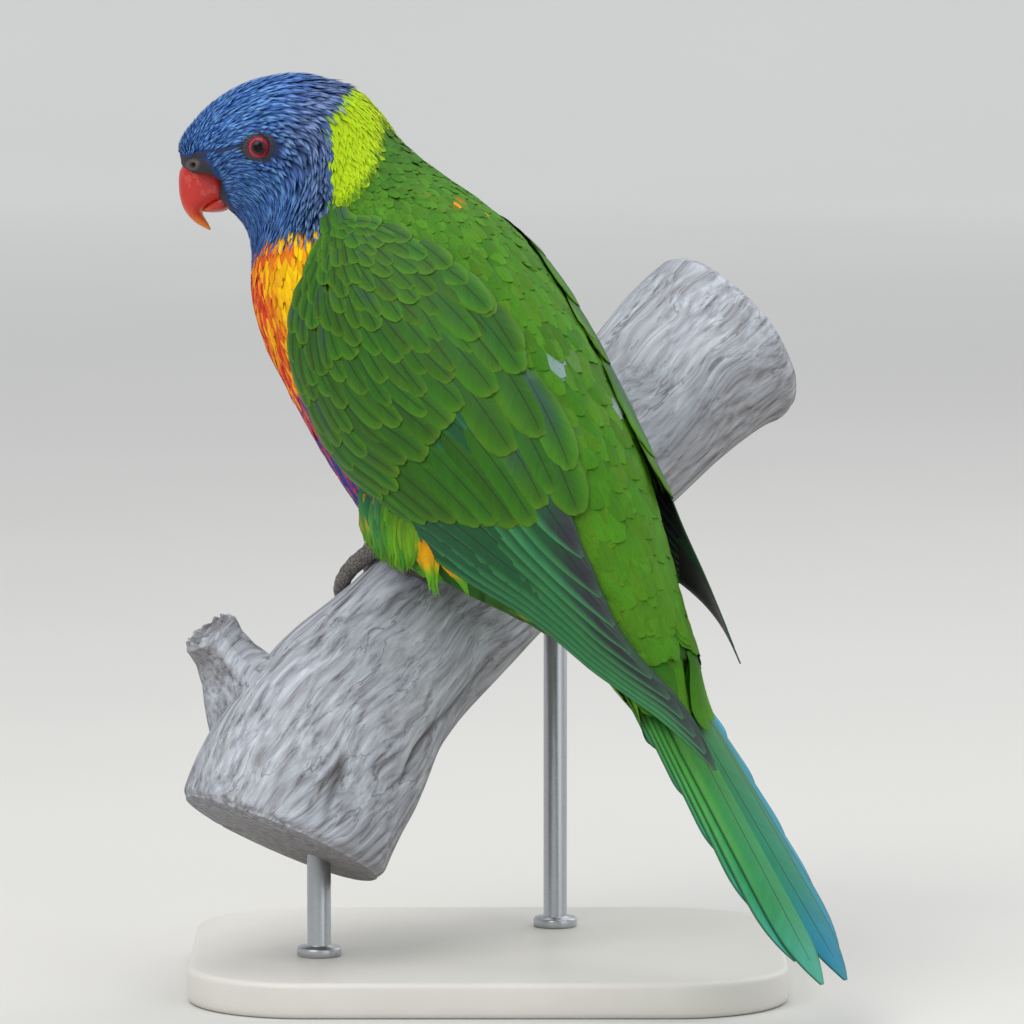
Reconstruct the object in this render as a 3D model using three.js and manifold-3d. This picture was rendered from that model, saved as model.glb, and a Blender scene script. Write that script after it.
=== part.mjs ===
// Rainbow lorikeet (Trichoglossus moluccanus), a life-size still model perched on a short cut length of weathered
// branch that two rods hold over a flat base. Millimetres, +Z up, origin under the middle of the base.
import * as THREE from "three";
import { mergeVertices } from "three/addons/utils/BufferGeometryUtils.js";
import Module from "manifold-3d";

// ---- driving dimensions -------------------------------------------------------------------------------------------
const GAP = 0.3; // clearance between neighbouring pieces
const FRONT_TILT = (6 * Math.PI) / 180; // the front view looks down by this much
const FRONT_DISTANCE = 2000; // and from this far away
const BODY_RINGS = 32, BODY_SIDES = 24;
const FEATHER = 0.8; // thickness of the long feathers
const EYE_RADIUS = 3.5, EYE_SHOWS = 2.75; // eyeball, and the radius of what shows between the lids
const TOE_RADIUS = 1.9, CLAW_RADIUS = 1.15;
const PERCH_SIDES = 20;
const BASE = { length: 150, width: 124, height: 9, corner: 30 };
const ROD_RADIUS = 3;
const TAIL_LENGTH = 86, TAIL_HANG = (53 * Math.PI) / 180; // reach behind the rump, and how steeply it hangs

// The body in stations from the bill's root to the tail's root: across and up in the front view (u, v), depth behind the
// middle plane, heading turned away from the front view (yaw), lean back of the section (tilt), half width, half height.
const STATION = (u, v, depth, yaw, tilt, wide, high) => ({ u, v, depth, yaw, tilt, wide, high });
const BODY = [
  STATION(-76.25, 82.0, 34.5, 5, -48, 5.5, 8.5), // root of the bill
  STATION(-76.25, 83.25, 34.4, 5, -42, 7.6, 10.6),
  STATION(-75.5, 84.5, 34.2, 5, -34, 9.4, 12.0), // forehead
  STATION(-73.5, 86.1, 34.0, 5, -23.5, 11.0, 13.7),
  STATION(-70.75, 87.75, 33.8, 5, -13, 12.4, 15.7),
  STATION(-67.25, 89.1, 33.6, 5, -2.4, 13.6, 17.8), // eyes
  STATION(-63.4, 89.3, 33.3, 5, 6.8, 14.6, 20.0),
  STATION(-59.4, 88.8, 33.0, 6, 15.4, 15.5, 22.0), // crown
  STATION(-55.5, 87.0, 32.5, 8, 23.5, 16.2, 23.6),
  STATION(-51.75, 84.4, 31.5, 12, 31, 17.0, 25.3), // nape
  STATION(-48.75, 80.0, 30.0, 17, 38, 18.5, 26.0),
  STATION(-46.0, 74.0, 28.0, 24, 44, 21.0, 27.0), // neck
  STATION(-40.5, 67.0, 24.0, 32, 50, 25.5, 30.0),
  STATION(-34.5, 59.25, 19.0, 37, 50, 29.0, 33.5), // shoulders
  STATION(-27.0, 49.75, 12.6, 40, 49, 31.5, 36.0),
  STATION(-19.75, 38.75, 6.7, 40, 49, 32.5, 37.0), // breast
  STATION(-12.5, 27.25, 0.6, 40, 49, 32.5, 37.0),
  STATION(-5.5, 16.0, -5.2, 40, 49, 31.5, 36.0),
  STATION(2.5, 5.0, -11.9, 40, 49, 29.0, 33.0), // belly
  STATION(11.0, -5.0, -19.0, 40, 49, 25.0, 28.0),
  STATION(19.0, -14.5, -25.7, 40, 49, 20.5, 22.0),
  STATION(26.25, -24.0, -31.7, 40, 49, 17.0, 16.5), // rump
  STATION(32.0, -32.75, -36.5, 40, 49, 14.5, 12.5),
  STATION(37.25, -42.0, -40.9, 40, 49, 13.0, 9.5), // root of the tail
];
// Behind the rump the folded wings leave the body and follow this slimmer course to their tips.
const WING_COURSE = BODY.slice(0, 21).concat([
  STATION(26.25, -24.0, -31.7, 40, 49, 17.5, 17.5),
  STATION(33.25, -34.5, -37.6, 40, 49, 15.0, 13.5),
  STATION(40.75, -47.0, -43.9, 40, 49, 12.5, 10.0),
  STATION(47.0, -57.5, -49.1, 40, 49, 11.0, 8.0),
  STATION(52.5, -67.0, -53.7, 40, 49, 10.0, 7.0),
]);
const ROUNDNESS = 2.12; // exponent of the section, 2 is an ellipse
const CUTS = { head: 9.35, neck: 12.1, trunk: 20.9 }; // stations where one part ends and the next begins

// A folded wing: station, angle of its lower edge, angle of its upper edge (0 is the midline of the back, 90 the side).
const LEFT_WING = [
  [12.4, 69, 60], [12.95, 84, 50], [13.65, 102, 42], [14.4, 114, 35], [15.2, 120, 30], [16, 119, 27], [17, 110, 26],
  [18.2, 107, 29], [19.8, 112, 38], [21.6, 106, 44], [22.3, 94, 44], [23.25, 68, 38], [24.2, 54, 40], [25, 48, 44],
];
const RIGHT_WING = [
  [12.4, 69, 60], [12.95, 84, 50], [13.65, 102, 42], [14.4, 114, 35], [15.2, 120, 30], [16, 119, 27], [17, 110, 26],
  [18.2, 100, 28], [19.4, 92, 32], [20.4, 80, 35], [21.4, 64, 37], [22.2, 52, 38], [22.9, 43, 39],
];
const LEFT_WING_LIFT = [[12.4, 0.3], [14, 0.9], [20, 0.9], [22, 1.4], [25, 1.6]];
const RIGHT_WING_LIFT = [[12.4, 0.3], [14, 0.9], [17.4, 1.0], [18.8, 2.2], [19.8, 4.4], [21, 6.0], [22, 6.9], [22.9, 7.6]];
const WING_THICK = 2.4, WING_TIP_THICK = 0.9;

// Tail feathers on each side from the middle pair outwards: reach along the tail, place of the tip across it.
const TAIL_REACH = [1.02, 0.93, 0.79, 0.6, 0.4, 0.22];
const TAIL_ACROSS = [5.6, 10.2, 12.6, 14.4, 15.6, 17.0];

// The perch: across, up, depth, radius of the branch from its lower end to its upper end.
const PERCH = [
  [-57.5, -82, -9, 27.2], [-50.5, -65.5, -4, 27], [-41, -50.5, 3, 25], [-30.5, -38.8, 11.5, 22.8], [-18, -25.8, 21, 22.2],
  [7, -0.5, 42, 22], [32, 24.5, 62.5, 22.3], [47, 38.5, 74.5, 24], [53.5, 44, 79.5, 25.4],
];

// ---- geometry helpers ---------------------------------------------------------------------------------------------
const wasm = await Module();
wasm.setup();
const V = (x, y, z) => new THREE.Vector3(x, y, z);
const rad = THREE.MathUtils.degToRad;
const smooth = (a, b, x) => THREE.MathUtils.smoothstep(x, a, b);

// A point given across and up in the front view and by its depth, in the model's frame.
function place(u, v, depth) {
  let k = 1, z = 0;
  for (let i = 0; i < 6; i++) {
    z = (v * k - depth * Math.sin(FRONT_TILT)) / Math.cos(FRONT_TILT);
    k = (FRONT_DISTANCE + depth * Math.cos(FRONT_TILT) - z * Math.sin(FRONT_TILT)) / FRONT_DISTANCE;
  }
  return V(u * k, depth, z);
}
// Smooth course through rows of numbers, read at any place along it.
function course(rows, at) {
  const ts = at || rows.map((_, i) => i), n = rows.length, w = rows[0].length;
  const slope = rows.map((_, i) => {
    const a = Math.max(0, i - 1), b = Math.min(n - 1, i + 1);
    return rows[i].map((_, j) => (rows[b][j] - rows[a][j]) / (ts[b] - ts[a]));
  });
  return (t) => {
    let i = 0;
    while (i < n - 2 && t > ts[i + 1]) i++;
    const h = ts[i + 1] - ts[i], s = (t - ts[i]) / h, out = [];
    for (let j = 0; j < w; j++)
      out.push((2 * s ** 3 - 3 * s ** 2 + 1) * rows[i][j] + (s ** 3 - 2 * s ** 2 + s) * h * slope[i][j] +
        (3 * s ** 2 - 2 * s ** 3) * rows[i + 1][j] + (s ** 3 - s ** 2) * h * slope[i + 1][j]);
    return out;
  };
}
const numbers = (s) => [s.u, s.v, s.depth, s.yaw, s.tilt, s.wide, s.high];
const bodyAt = course(BODY.map(numbers));
const wingCourseAt = course(WING_COURSE.map(numbers));
// Frame of a section: middle, to the left, to the back (dorsal) and along the body towards the head.
function section(row) {
  const yaw = rad(row[3]), tilt = rad(row[4]);
  const ahead = V(-Math.cos(yaw), Math.sin(yaw), 0), left = V(-Math.sin(yaw), -Math.cos(yaw), 0);
  const dorsal = ahead.clone().multiplyScalar(-Math.sin(tilt)).add(V(0, 0, Math.cos(tilt)));
  return { mid: place(row[0], row[1], row[2]), left, dorsal, along: new THREE.Vector3().crossVectors(dorsal, left).negate(), wide: row[5], high: row[6] };
}
// Point on a section at an angle from the back, lifted off its surface.
function onSection(f, angle, lift = 0) {
  const c = Math.cos(angle), s = Math.sin(angle), e = 2 / ROUNDNESS;
  const out = f.left.clone().multiplyScalar(s / f.wide).addScaledVector(f.dorsal, c / f.high).normalize();
  return f.mid.clone()
    .addScaledVector(f.left, Math.sign(s) * Math.abs(s) ** e * f.wide)
    .addScaledVector(f.dorsal, Math.sign(c) * Math.abs(c) ** e * f.high)
    .addScaledVector(out, lift);
}
function geometryOf(points, faces) {
  const g = new THREE.BufferGeometry();
  g.setAttribute("position", new THREE.Float32BufferAttribute(points.flatMap((p) => [p.x, p.y, p.z]), 3));
  g.setIndex(faces.flat());
  return g;
}
// A closed skin over rings of points, its two ends closed by a fan.
function loft(rings) {
  const n = rings[0].length, points = rings.flat(), faces = [];
  const id = (i, k) => i * n + (k % n);
  for (let i = 0; i < rings.length - 1; i++)
    for (let k = 0; k < n; k++)
      faces.push([id(i, k), id(i + 1, k), id(i + 1, k + 1)], [id(i, k), id(i + 1, k + 1), id(i, k + 1)]);
  const middle = (ring) => ring.reduce((a, p) => a.add(p), V(0, 0, 0)).multiplyScalar(1 / n);
  points.push(middle(rings[0]), middle(rings[rings.length - 1]));
  const a = points.length - 2, b = points.length - 1, last = rings.length - 1;
  for (let k = 0; k < n; k++) faces.push([a, id(0, k + 1), id(0, k)].reverse(), [b, id(last, k), id(last, k + 1)].reverse());
  return geometryOf(points, faces);
}
function solid(geometry) {
  const g = geometry.clone();
  g.deleteAttribute("normal");
  g.deleteAttribute("uv");
  const m = mergeVertices(g, 1e-4), index = new Uint32Array(m.index.array);
  const make = () => new wasm.Manifold(new wasm.Mesh({ numProp: 3, vertProperties: m.attributes.position.array, triVerts: index }));
  let s = make();
  if (s.volume() < 0) {
    for (let i = 0; i < index.length; i += 3) [index[i + 1], index[i + 2]] = [index[i + 2], index[i + 1]];
    s = make();
  }
  return s;
}
function geometryOfSolid(s) {
  const m = s.getMesh(), g = new THREE.BufferGeometry(), v = new Float32Array(m.numVert * 3);
  for (let i = 0; i < m.numVert; i++) v.set(m.vertProperties.subarray(i * m.numProp, i * m.numProp + 3), i * 3);
  g.setAttribute("position", new THREE.BufferAttribute(v, 3));
  g.setIndex(new THREE.BufferAttribute(new Uint32Array(m.triVerts), 1));
  return g;
}
const largest = (s) => s.decompose().sort((a, b) => b.volume() - a.volume())[0];

// ---- body, parted by thin cuts ------------------------------------------------------------------------------------
function ring(row, sides, lift = 0) {
  const f = section(row);
  return Array.from({ length: sides }, (_, k) => onSection(f, (2 * Math.PI * k) / sides, lift));
}
const last = BODY.length - 1;
const stations = Array.from({ length: BODY_RINGS + 1 }, (_, i) => (last * i) / BODY_RINGS);
const whole = solid(loft(stations.map((t) => ring(bodyAt(t), BODY_SIDES))));
// The part of the body between two stations, short of each by half a gap.
function between(from, to) {
  const inside = (t) => Math.min(last, Math.max(0, t));
  const ends = (t, side) => {
    const f = section(bodyAt(inside(t)));
    const tailward = section(bodyAt(inside(t + 0.2))).mid.sub(section(bodyAt(inside(t - 0.2))).mid);
    const normal = new THREE.Vector3().crossVectors(f.left, f.dorsal).normalize();
    if (normal.dot(tailward) < 0) normal.negate();
    const big = { ...f, wide: f.wide * 1.35, high: f.high * 1.22, mid: f.mid.clone().addScaledVector(normal, side * GAP / 2) };
    return Array.from({ length: BODY_SIDES }, (_, k) => onSection(big, (2 * Math.PI * k) / BODY_SIDES));
  };
  const steps = Math.max(4, Math.round((to - from) * 2)), rings = [];
  for (let i = 0; i <= steps; i++) {
    const t = from + ((to - from) * i) / steps;
    rings.push(ends(t, i === 0 ? 1 : i === steps ? -1 : 0));
  }
  return solid(loft(rings));
}
const bodyParts = {
  head: between(-0.6 + 0.6, CUTS.head),
  neck: between(CUTS.head, CUTS.neck),
  trunk: between(CUTS.neck, CUTS.trunk),
  rump: between(CUTS.trunk, last),
};
for (const k of Object.keys(bodyParts)) bodyParts[k] = whole.intersect(bodyParts[k]);

// ---- wings --------------------------------------------------------------------------------------------------------
// A curved plate over the wing's outline. grow widens it for the seat that it leaves in the body.
function wing(rows, lifts, side, grow = 0, outer = 0) {
  const edge = course(rows.map((r) => [r[1], r[2]]), rows.map((r) => r[0]));
  const lift = course(lifts.map((r) => [r[1]]), lifts.map((r) => r[0]));
  const from = rows[0][0], to = rows[rows.length - 1][0], steps = 18, across = 6, rings = [];
  for (let i = 0; i <= steps; i++) {
    const t = from + ((to - from) * i) / steps, f = section(wingCourseAt(t));
    let [low, high] = edge(t);
    const grown = THREE.MathUtils.radToDeg(grow / ((f.wide + f.high) / 2));
    low += grown; high -= grown;
    if (low - high < 4) { const m = (low + high) / 2; low = m + 2; high = m - 2; }
    const l = lift(t)[0], thin = smooth(16, 23, t), body = smooth(12.4, 14, t);
    const thick = WING_TIP_THICK + (WING_THICK * body - WING_TIP_THICK * body) * (1 - thin) + 0.0;
    const top = [], under = [];
    for (let j = 0; j <= across; j++) {
      const a = side * rad(high + ((low - high) * j) / across), rim = Math.sin((Math.PI * j) / across) ** 0.5;
      top.push(onSection(f, a, l + outer + (grow ? 0 : 0.45 * rim)));
      under.push(onSection(f, a, l - Math.max(thick * (0.55 + 0.45 * rim), 0.7) - grow));
    }
    rings.push([...top, ...under.reverse()]);
  }
  return solid(loft(rings));
}
const wings = { left: wing(LEFT_WING, LEFT_WING_LIFT, 1), right: wing(RIGHT_WING, RIGHT_WING_LIFT, -1) };
const seats = [wing(LEFT_WING, LEFT_WING_LIFT, 1, GAP, 6), wing(RIGHT_WING, RIGHT_WING_LIFT, -1, GAP, 6)];

// ---- tail: twelve long feathers, stepped, the middle pair uppermost -----------------------------------------------
const root = section(bodyAt(last));
const tailAlong = V(Math.cos(rad(40)) * Math.cos(TAIL_HANG), -Math.sin(rad(40)) * Math.cos(TAIL_HANG), -Math.sin(TAIL_HANG));
const tailUp = new THREE.Vector3().crossVectors(root.left, tailAlong).normalize();
if (tailUp.dot(root.dorsal) < 0) tailUp.negate();
const tailPoint = (along, across, up) => root.mid.clone().addScaledVector(tailAlong, along)
  .addScaledVector(root.left, across).addScaledVector(tailUp, up);
function tailFeather(side, i) {
  const rings = [], steps = 9, from = 2, to = TAIL_LENGTH * TAIL_REACH[i], sides = 6;
  for (let k = 0; k <= steps; k++) {
    const q = k / steps, along = from + (to - from) * q;
    const across = side * THREE.MathUtils.lerp(1.6 + i * 1.5, TAIL_ACROSS[i] - 0.4, Math.min(1, q * 1.05));
    const half = 6.4 * (0.62 + 0.38 * smooth(0, 0.35, q)) * Math.sqrt(Math.max(0.012, 1 - smooth(0.55, 1.02, q) ** 1.6 * 0.99));
    const up = 1.4 - i * 0.62 - 0.012 * across * across;
    rings.push(Array.from({ length: sides }, (_, j) => {
      const a = (2 * Math.PI * j) / sides;
      return tailPoint(along, across + Math.cos(a) * half, up + (Math.sin(a) * FEATHER) / 2 * (side > 0 ? 1 : 1.02) - Math.abs(Math.cos(a)) * 0.25);
    }));
  }
  return solid(loft(rings));
}
let tail = null;
for (let i = 0; i < 6; i++) for (const side of [1, -1]) {
  const f = tailFeather(side, i);
  tail = tail ? tail.add(f) : f;
}

// ---- bill, in the plane of the head -------------------------------------------------------------------------------
const head = section(bodyAt(3));
const billPoint = (u, v, across) => place(u, v, 34.6).addScaledVector(head.left, across);
// Sections from the root to the tip: front edge, back edge (across and up in the front view), half width.
const UPPER_BILL = [
  [-82.3, 86.6, -70.3, 80.9, 5.6], [-83.1, 84.9, -70.3, 79.4, 5.8], [-83.25, 82.2, -72.0, 78.0, 5.6], [-83.0, 79.2, -75.2, 76.6, 4.7],
  [-82.2, 76.3, -76.9, 75.6, 3.7], [-80.9, 74.2, -77.3, 74.6, 2.6], [-79.0, 72.3, -76.7, 73.4, 1.6], [-77.0, 71.1, -75.9, 72.1, 0.8], [-75.6, 70.4, -75.3, 70.8, 0.35],
];
const upperAt = course(UPPER_BILL);
function billLoft(at, count, steps, power) {
  const rings = [];
  for (let i = 0; i <= steps; i++) {
    const [u0, v0, u1, v1, w] = at((count * i) / steps);
    rings.push(Array.from({ length: 10 }, (_, k) => {
      const a = (2 * Math.PI * k) / 10, c = Math.cos(a), s = Math.sin(a);
      const x = 0.5 - 0.5 * Math.sign(c) * Math.abs(c) ** power;
      return billPoint(THREE.MathUtils.lerp(u0, u1, x), THREE.MathUtils.lerp(v0, v1, x), Math.sign(s) * Math.abs(s) ** 0.9 * w);
    }));
  }
  return solid(loft(rings));
}
const upperBill = billLoft(upperAt, UPPER_BILL.length - 1, 9, 0.9);
const LOWER_BILL = [[-71.6, 80.2, -69.5, 76.6, 4.6], [-73.0, 79.4, -71.6, 75.3, 4.6], [-74.6, 78.4, -74.0, 74.9, 4.0], [-76.0, 77.0, -76.2, 75.0, 3.0], [-77.0, 76.1, -77.2, 75.2, 1.8]];
const lowerBill = billLoft(course(LOWER_BILL), LOWER_BILL.length - 1, 6, 0.9);

// ---- eyes ---------------------------------------------------------------------------------------------------------
function onHead(u, v, side) { // the head's surface where a line of sight at (u, v) meets it, and its mirror on the other side
  let best = null;
  for (let t = 3; t < 8; t += 0.05) for (let a = 40; a < 140; a += 1) {
    const f = section(bodyAt(t)), p = onSection(f, rad(a));
    const q = place(u, v, p.y), d = Math.hypot(q.x - p.x, q.z - p.z);
    if (!best || d < best.d) best = { d, t, a, p, f };
  }
  const at = (lift) => onSection(best.f, side * rad(best.a), lift);
  return { point: at(0), normal: at(1).sub(at(0)).normalize() };
}
const EYE_AT = [-63.3, 91.2];
const eyes = {};
for (const [name, side] of [["left", 1], ["right", -1]]) {
  const spot = onHead(EYE_AT[0], EYE_AT[1], side);
  const depth = Math.sqrt(EYE_RADIUS ** 2 - EYE_SHOWS ** 2);
  const centre = spot.point.clone().addScaledVector(spot.normal, -depth - 0.35);
  const ball = (r) => { const g = new THREE.SphereGeometry(r, 14, 9); g.translate(centre.x, centre.y, centre.z); return solid(g); };
  const cone = new THREE.CylinderGeometry(EYE_SHOWS + 1.0, EYE_SHOWS + 0.1, 2, 14);
  cone.applyQuaternion(new THREE.Quaternion().setFromUnitVectors(V(0, 1, 0), spot.normal));
  const mouth = spot.point.clone().addScaledVector(spot.normal, 0.75);
  cone.translate(mouth.x, mouth.y, mouth.z);
  eyes[name] = { ball: ball(EYE_RADIUS), socket: ball(EYE_RADIUS + GAP).add(solid(cone)) };
}

// ---- perch --------------------------------------------------------------------------------------------------------
const perchAt = course(PERCH);
function perchFrame(t) {
  const r = perchAt(t), a = perchAt(Math.max(0, t - 0.05)), b = perchAt(Math.min(PERCH.length - 1, t + 0.05));
  const mid = place(r[0], r[1], r[2]), along = place(b[0], b[1], b[2]).sub(place(a[0], a[1], a[2])).normalize();
  const edge = new THREE.Vector3().crossVectors(along, V(0, 1, 0)).normalize(); // towards the upper left of the front view
  if (edge.z < 0) edge.negate();
  const near = new THREE.Vector3().crossVectors(edge, along).normalize();
  if (near.y > 0) near.negate();
  return { mid, along, edge, near, radius: r[3] };
}
// The weathered surface swells and hollows slowly round and along the branch.
const perchRadius = (t, a, r) => r * (1 + 0.022 * Math.sin(2 * a + t * 1.1) + 0.016 * Math.sin(3 * a - t * 1.7 + 1) + 0.01 * Math.sin(5 * a + t * 3.1));
function onPerch(t, angle, lift = 0) {
  const f = perchFrame(t), r = perchRadius(t, angle, f.radius) + lift;
  return f.mid.clone().addScaledVector(f.edge, Math.cos(angle) * r).addScaledVector(f.near, Math.sin(angle) * r);
}
function perchSolid(lift, sides) {
  const steps = 17, end = PERCH.length - 1;
  return solid(loft(Array.from({ length: steps + 1 }, (_, i) => Array.from({ length: sides }, (_, k) => onPerch((end * i) / steps, (2 * Math.PI * k) / sides, lift)))));
}
// The stump of a side twig, snapped off.
function stump(lift) {
  const foot = place(-65, -45, 3), tip = place(-76.5, -29.3, 0), dir = tip.clone().sub(foot).normalize();
  const x = new THREE.Vector3().crossVectors(dir, V(0, 1, 0)).normalize(), y = new THREE.Vector3().crossVectors(dir, x);
  const radii = [15, 11.5, 8.6, 7.4, 7.6, 6.4];
  return solid(loft(radii.map((r, i) => Array.from({ length: 14 }, (_, k) => {
    const a = (2 * Math.PI * k) / 14, w = (r + lift) * (1 + 0.07 * Math.sin(3 * a + i) + 0.05 * Math.sin(5 * a));
    const q = [-0.25, 0.15, 0.45, 0.7, 0.92, 1][i] + (i > 3 ? 0.05 * Math.sin(2 * a + 1) : 0);
    return foot.clone().lerp(tip, q).addScaledVector(x, Math.cos(a) * w).addScaledVector(y, Math.sin(a) * w);
  }))));
}
const perch = perchSolid(0, PERCH_SIDES).add(stump(0));
const perchClear = perchSolid(GAP + 0.2, PERCH_SIDES);

// ---- legs and feet ------------------------------------------------------------------------------------------------
// A tapering tube along points, with its radius at each.
function tube(points, radii, sides, steps) {
  const curve = new THREE.CatmullRomCurve3(points), frames = curve.computeFrenetFrames(steps, false), at = course(radii.map((r) => [r]));
  return solid(loft(Array.from({ length: steps + 1 }, (_, i) => {
    const p = curve.getPointAt(i / steps), r = at(((radii.length - 1) * i) / steps)[0];
    return Array.from({ length: sides }, (_, k) => {
      const a = (2 * Math.PI * k) / sides;
      return p.clone().addScaledVector(frames.normals[i], Math.cos(a) * r).addScaledVector(frames.binormals[i], Math.sin(a) * r);
    });
  })));
}
// Toes lie on the perch: station of the foot, angle of its sole, and for each toe its end station, end angle and length share.
const FEET = {
  left: { at: 3.92, angle: 20, toes: [[-0.34, -38], [0.14, -50], [-0.16, 52], [0.24, 54]] },
  right: { at: 4.68, angle: -26, toes: [[-0.2, -88], [0.22, -90], [-0.2, 10], [0.22, 12]] },
};
const THIGH_HEM = { left: [0.12, 70], right: [-0.05, -12] }; // where each thigh's feathers end over the perch
const feet = {}, claws = {}, thighs = {};
for (const [name, side] of [["left", 1], ["right", -1]]) {
  const foot = FEET[name], base = rad(foot.angle), toeLift = TOE_RADIUS + GAP + 0.25;
  const belly = section(bodyAt(17.6));
  const sole = onPerch(foot.at, base, toeLift);
  const ankle = onPerch(foot.at, base, 9), knee = belly.mid.clone().addScaledVector(belly.left, side * 15).addScaledVector(belly.dorsal, -19);
  const shank = tube([sole.clone(), ankle, ankle.clone().lerp(knee, 0.35)], [2.3, 2.1, 2.2], 8, 4);
  let made = tube([onPerch(foot.at, base, toeLift - 0.2), onPerch(foot.at, base, toeLift + 1.6)], [2.3, 2.0], 8, 2), seat = null;
  foot.toes.forEach(([shift, end], i) => {
    const path = [], clawPath = [], last = rad(end), turn = last - base;
    for (let k = 0; k <= 5; k++) { const q = k / 5; path.push(onPerch(foot.at + shift * Math.sin(q * 1.45), base + turn * q, toeLift + (k === 0 ? 0.3 : 0))); }
    made = made.add(tube(path, [2.1, 2.0, 2.1, 1.8, 1.9, 1.5], 6, 6));
    const room = tube(path, [2.8, 2.6, 2.7, 2.4, 2.5, 2.1], 6, 6);
    seat = seat ? seat.add(room) : room;
    const step = (Math.sign(turn) * 1) / 22;
    for (let k = 0; k <= 3; k++) {
      const q = k / 3;
      clawPath.push(onPerch(foot.at + shift * (0.993 + 0.03 * q), last + step * (1.5 + GAP + q * 6.2), toeLift + [0.1, 1.0, 0.5, -1.1][k]));
    }
    claws["claw_" + name + "_" + (i + 1)] = tube(clawPath, [CLAW_RADIUS, 1.0, 0.62, 0.28], 6, 4);
    seat = seat.add(tube(clawPath, [1.8, 1.65, 1.3, 1.0], 6, 4));
  });
  feet["foot_" + name] = { toes: made, shank, seat };
  const hip = belly.mid.clone().addScaledVector(belly.left, side * 17).addScaledVector(belly.dorsal, -12);
  const hem = onPerch(foot.at + THIGH_HEM[name][0], rad(THIGH_HEM[name][1]), 5.5);
  const thigh = (grow) => tube([hip, hip.clone().lerp(hem, 0.45), hip.clone().lerp(hem, 0.8), hem], [13, 13.5, 10, 3.4].map((r) => r + grow), 10, 6);
  thighs["thigh_" + name] = { thigh: thigh(0), seat: thigh(GAP) };
}

// ---- fit the pieces to each other ---------------------------------------------------------------------------------
let trunk = bodyParts.trunk, rump = bodyParts.rump, neck = bodyParts.neck, headSolid = bodyParts.head;
for (const seat of seats) { trunk = trunk.subtract(seat); rump = rump.subtract(seat); neck = neck.subtract(seat); }
trunk = trunk.subtract(perchSolid(2 * TOE_RADIUS + 1.2, PERCH_SIDES)); // the belly rests on the toes
rump = largest(rump.subtract(perchClear));
for (const k of ["left", "right"]) {
  headSolid = headSolid.subtract(eyes[k].socket);
  wings[k] = largest(wings[k].subtract(perchClear));
}
// The bill sits in a seat cut a gap wider than itself.
const billSeat = (at, count, steps) => {
  const wide = (t) => { const [u0, v0, u1, v1, w] = at(t), l = Math.hypot(u0 - u1, v0 - v1), k = 0.45 / l;
    return [u0 + (u0 - u1) * k, v0 + (v0 - v1) * k, u1 + (u1 - u0) * k, v1 + (v1 - v0) * k, w + 0.4]; };
  return billLoft(wide, count, steps, 0.9);
};
const upperSeat = billSeat(upperAt, UPPER_BILL.length - 1, 9);
headSolid = headSolid.subtract(upperSeat).subtract(billSeat(course(LOWER_BILL), LOWER_BILL.length - 1, 6));
const lowerFinal = largest(lowerBill.subtract(upperSeat)).simplify(0.04);
// The feathered thighs fill seats in the belly, under the edge of the wings and over the perch.
const swollen = solid(loft(stations.map((t) => ring(bodyAt(t), BODY_SIDES, GAP + 0.1))));
for (const k of ["left", "right"]) {
  const { thigh, seat } = thighs["thigh_" + k];
  let t = thigh.subtract(perchClear);
  for (const s of seats) t = t.subtract(s);
  thighs["thigh_" + k] = t;
  trunk = trunk.subtract(seat);
}

for (const k of ["left", "right"]) {
  const { toes, shank, seat } = feet["foot_" + k];
  trunk = trunk.subtract(seat);
  wings[k] = largest(wings[k].subtract(seat));
  thighs["thigh_" + k] = thighs["thigh_" + k].subtract(seat);
  feet["foot_" + k] = largest(toes.add(shank.subtract(swollen)).subtract(perchClear));
}
const fatFoot = (k) => {
  const foot = FEET[k], base = rad(foot.angle), ankle = onPerch(foot.at, base, 9), belly = section(bodyAt(17.6));
  const knee = belly.mid.clone().addScaledVector(belly.left, (k === "left" ? 1 : -1) * 15).addScaledVector(belly.dorsal, -19);
  return tube([onPerch(foot.at, base, TOE_RADIUS), ankle, ankle.clone().lerp(knee, 0.4)], [3.0, 2.8, 2.9], 8, 4);
};
for (const k of ["left", "right"]) thighs["thigh_" + k] = largest(thighs["thigh_" + k].subtract(fatFoot(k)));
// The tail's root is held a gap behind the rump and below the wing tips.
const wingClear = [wing(LEFT_WING, LEFT_WING_LIFT, 1, GAP, GAP), wing(RIGHT_WING, RIGHT_WING_LIFT, -1, GAP, GAP)];
for (const w of wingClear) tail = tail.subtract(w);
tail = largest(tail);

// ---- stand --------------------------------------------------------------------------------------------------------
const tailTip = tailPoint(TAIL_LENGTH * TAIL_REACH[0], 0, 0);
const baseTop = tailTip.z - 4.5, baseMiddle = V(-6, 16, 0);
const plate = new THREE.Shape(), hx = BASE.length / 2, hy = BASE.width / 2, c = BASE.corner;
plate.moveTo(-hx + c, -hy).lineTo(hx - c, -hy).absarc(hx - c, -hy + c, c, -Math.PI / 2, 0, false).lineTo(hx, hy - c)
  .absarc(hx - c, hy - c, c, 0, Math.PI / 2, false).lineTo(-hx + c, hy).absarc(-hx + c, hy - c, c, Math.PI / 2, Math.PI, false)
  .lineTo(-hx, -hy + c).absarc(-hx + c, -hy + c, c, Math.PI, 1.5 * Math.PI, false);
const BEVEL = 1.2;
const plateGeometry = new THREE.ExtrudeGeometry(plate, { depth: BASE.height - 2 * BEVEL, bevelEnabled: true, bevelThickness: BEVEL, bevelSize: BEVEL, bevelOffset: -BEVEL, bevelSegments: 1, curveSegments: 4 });
plateGeometry.translate(baseMiddle.x, baseMiddle.y, baseTop - BASE.height + BEVEL);
let stand = solid(plateGeometry);
const rods = {};
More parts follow.
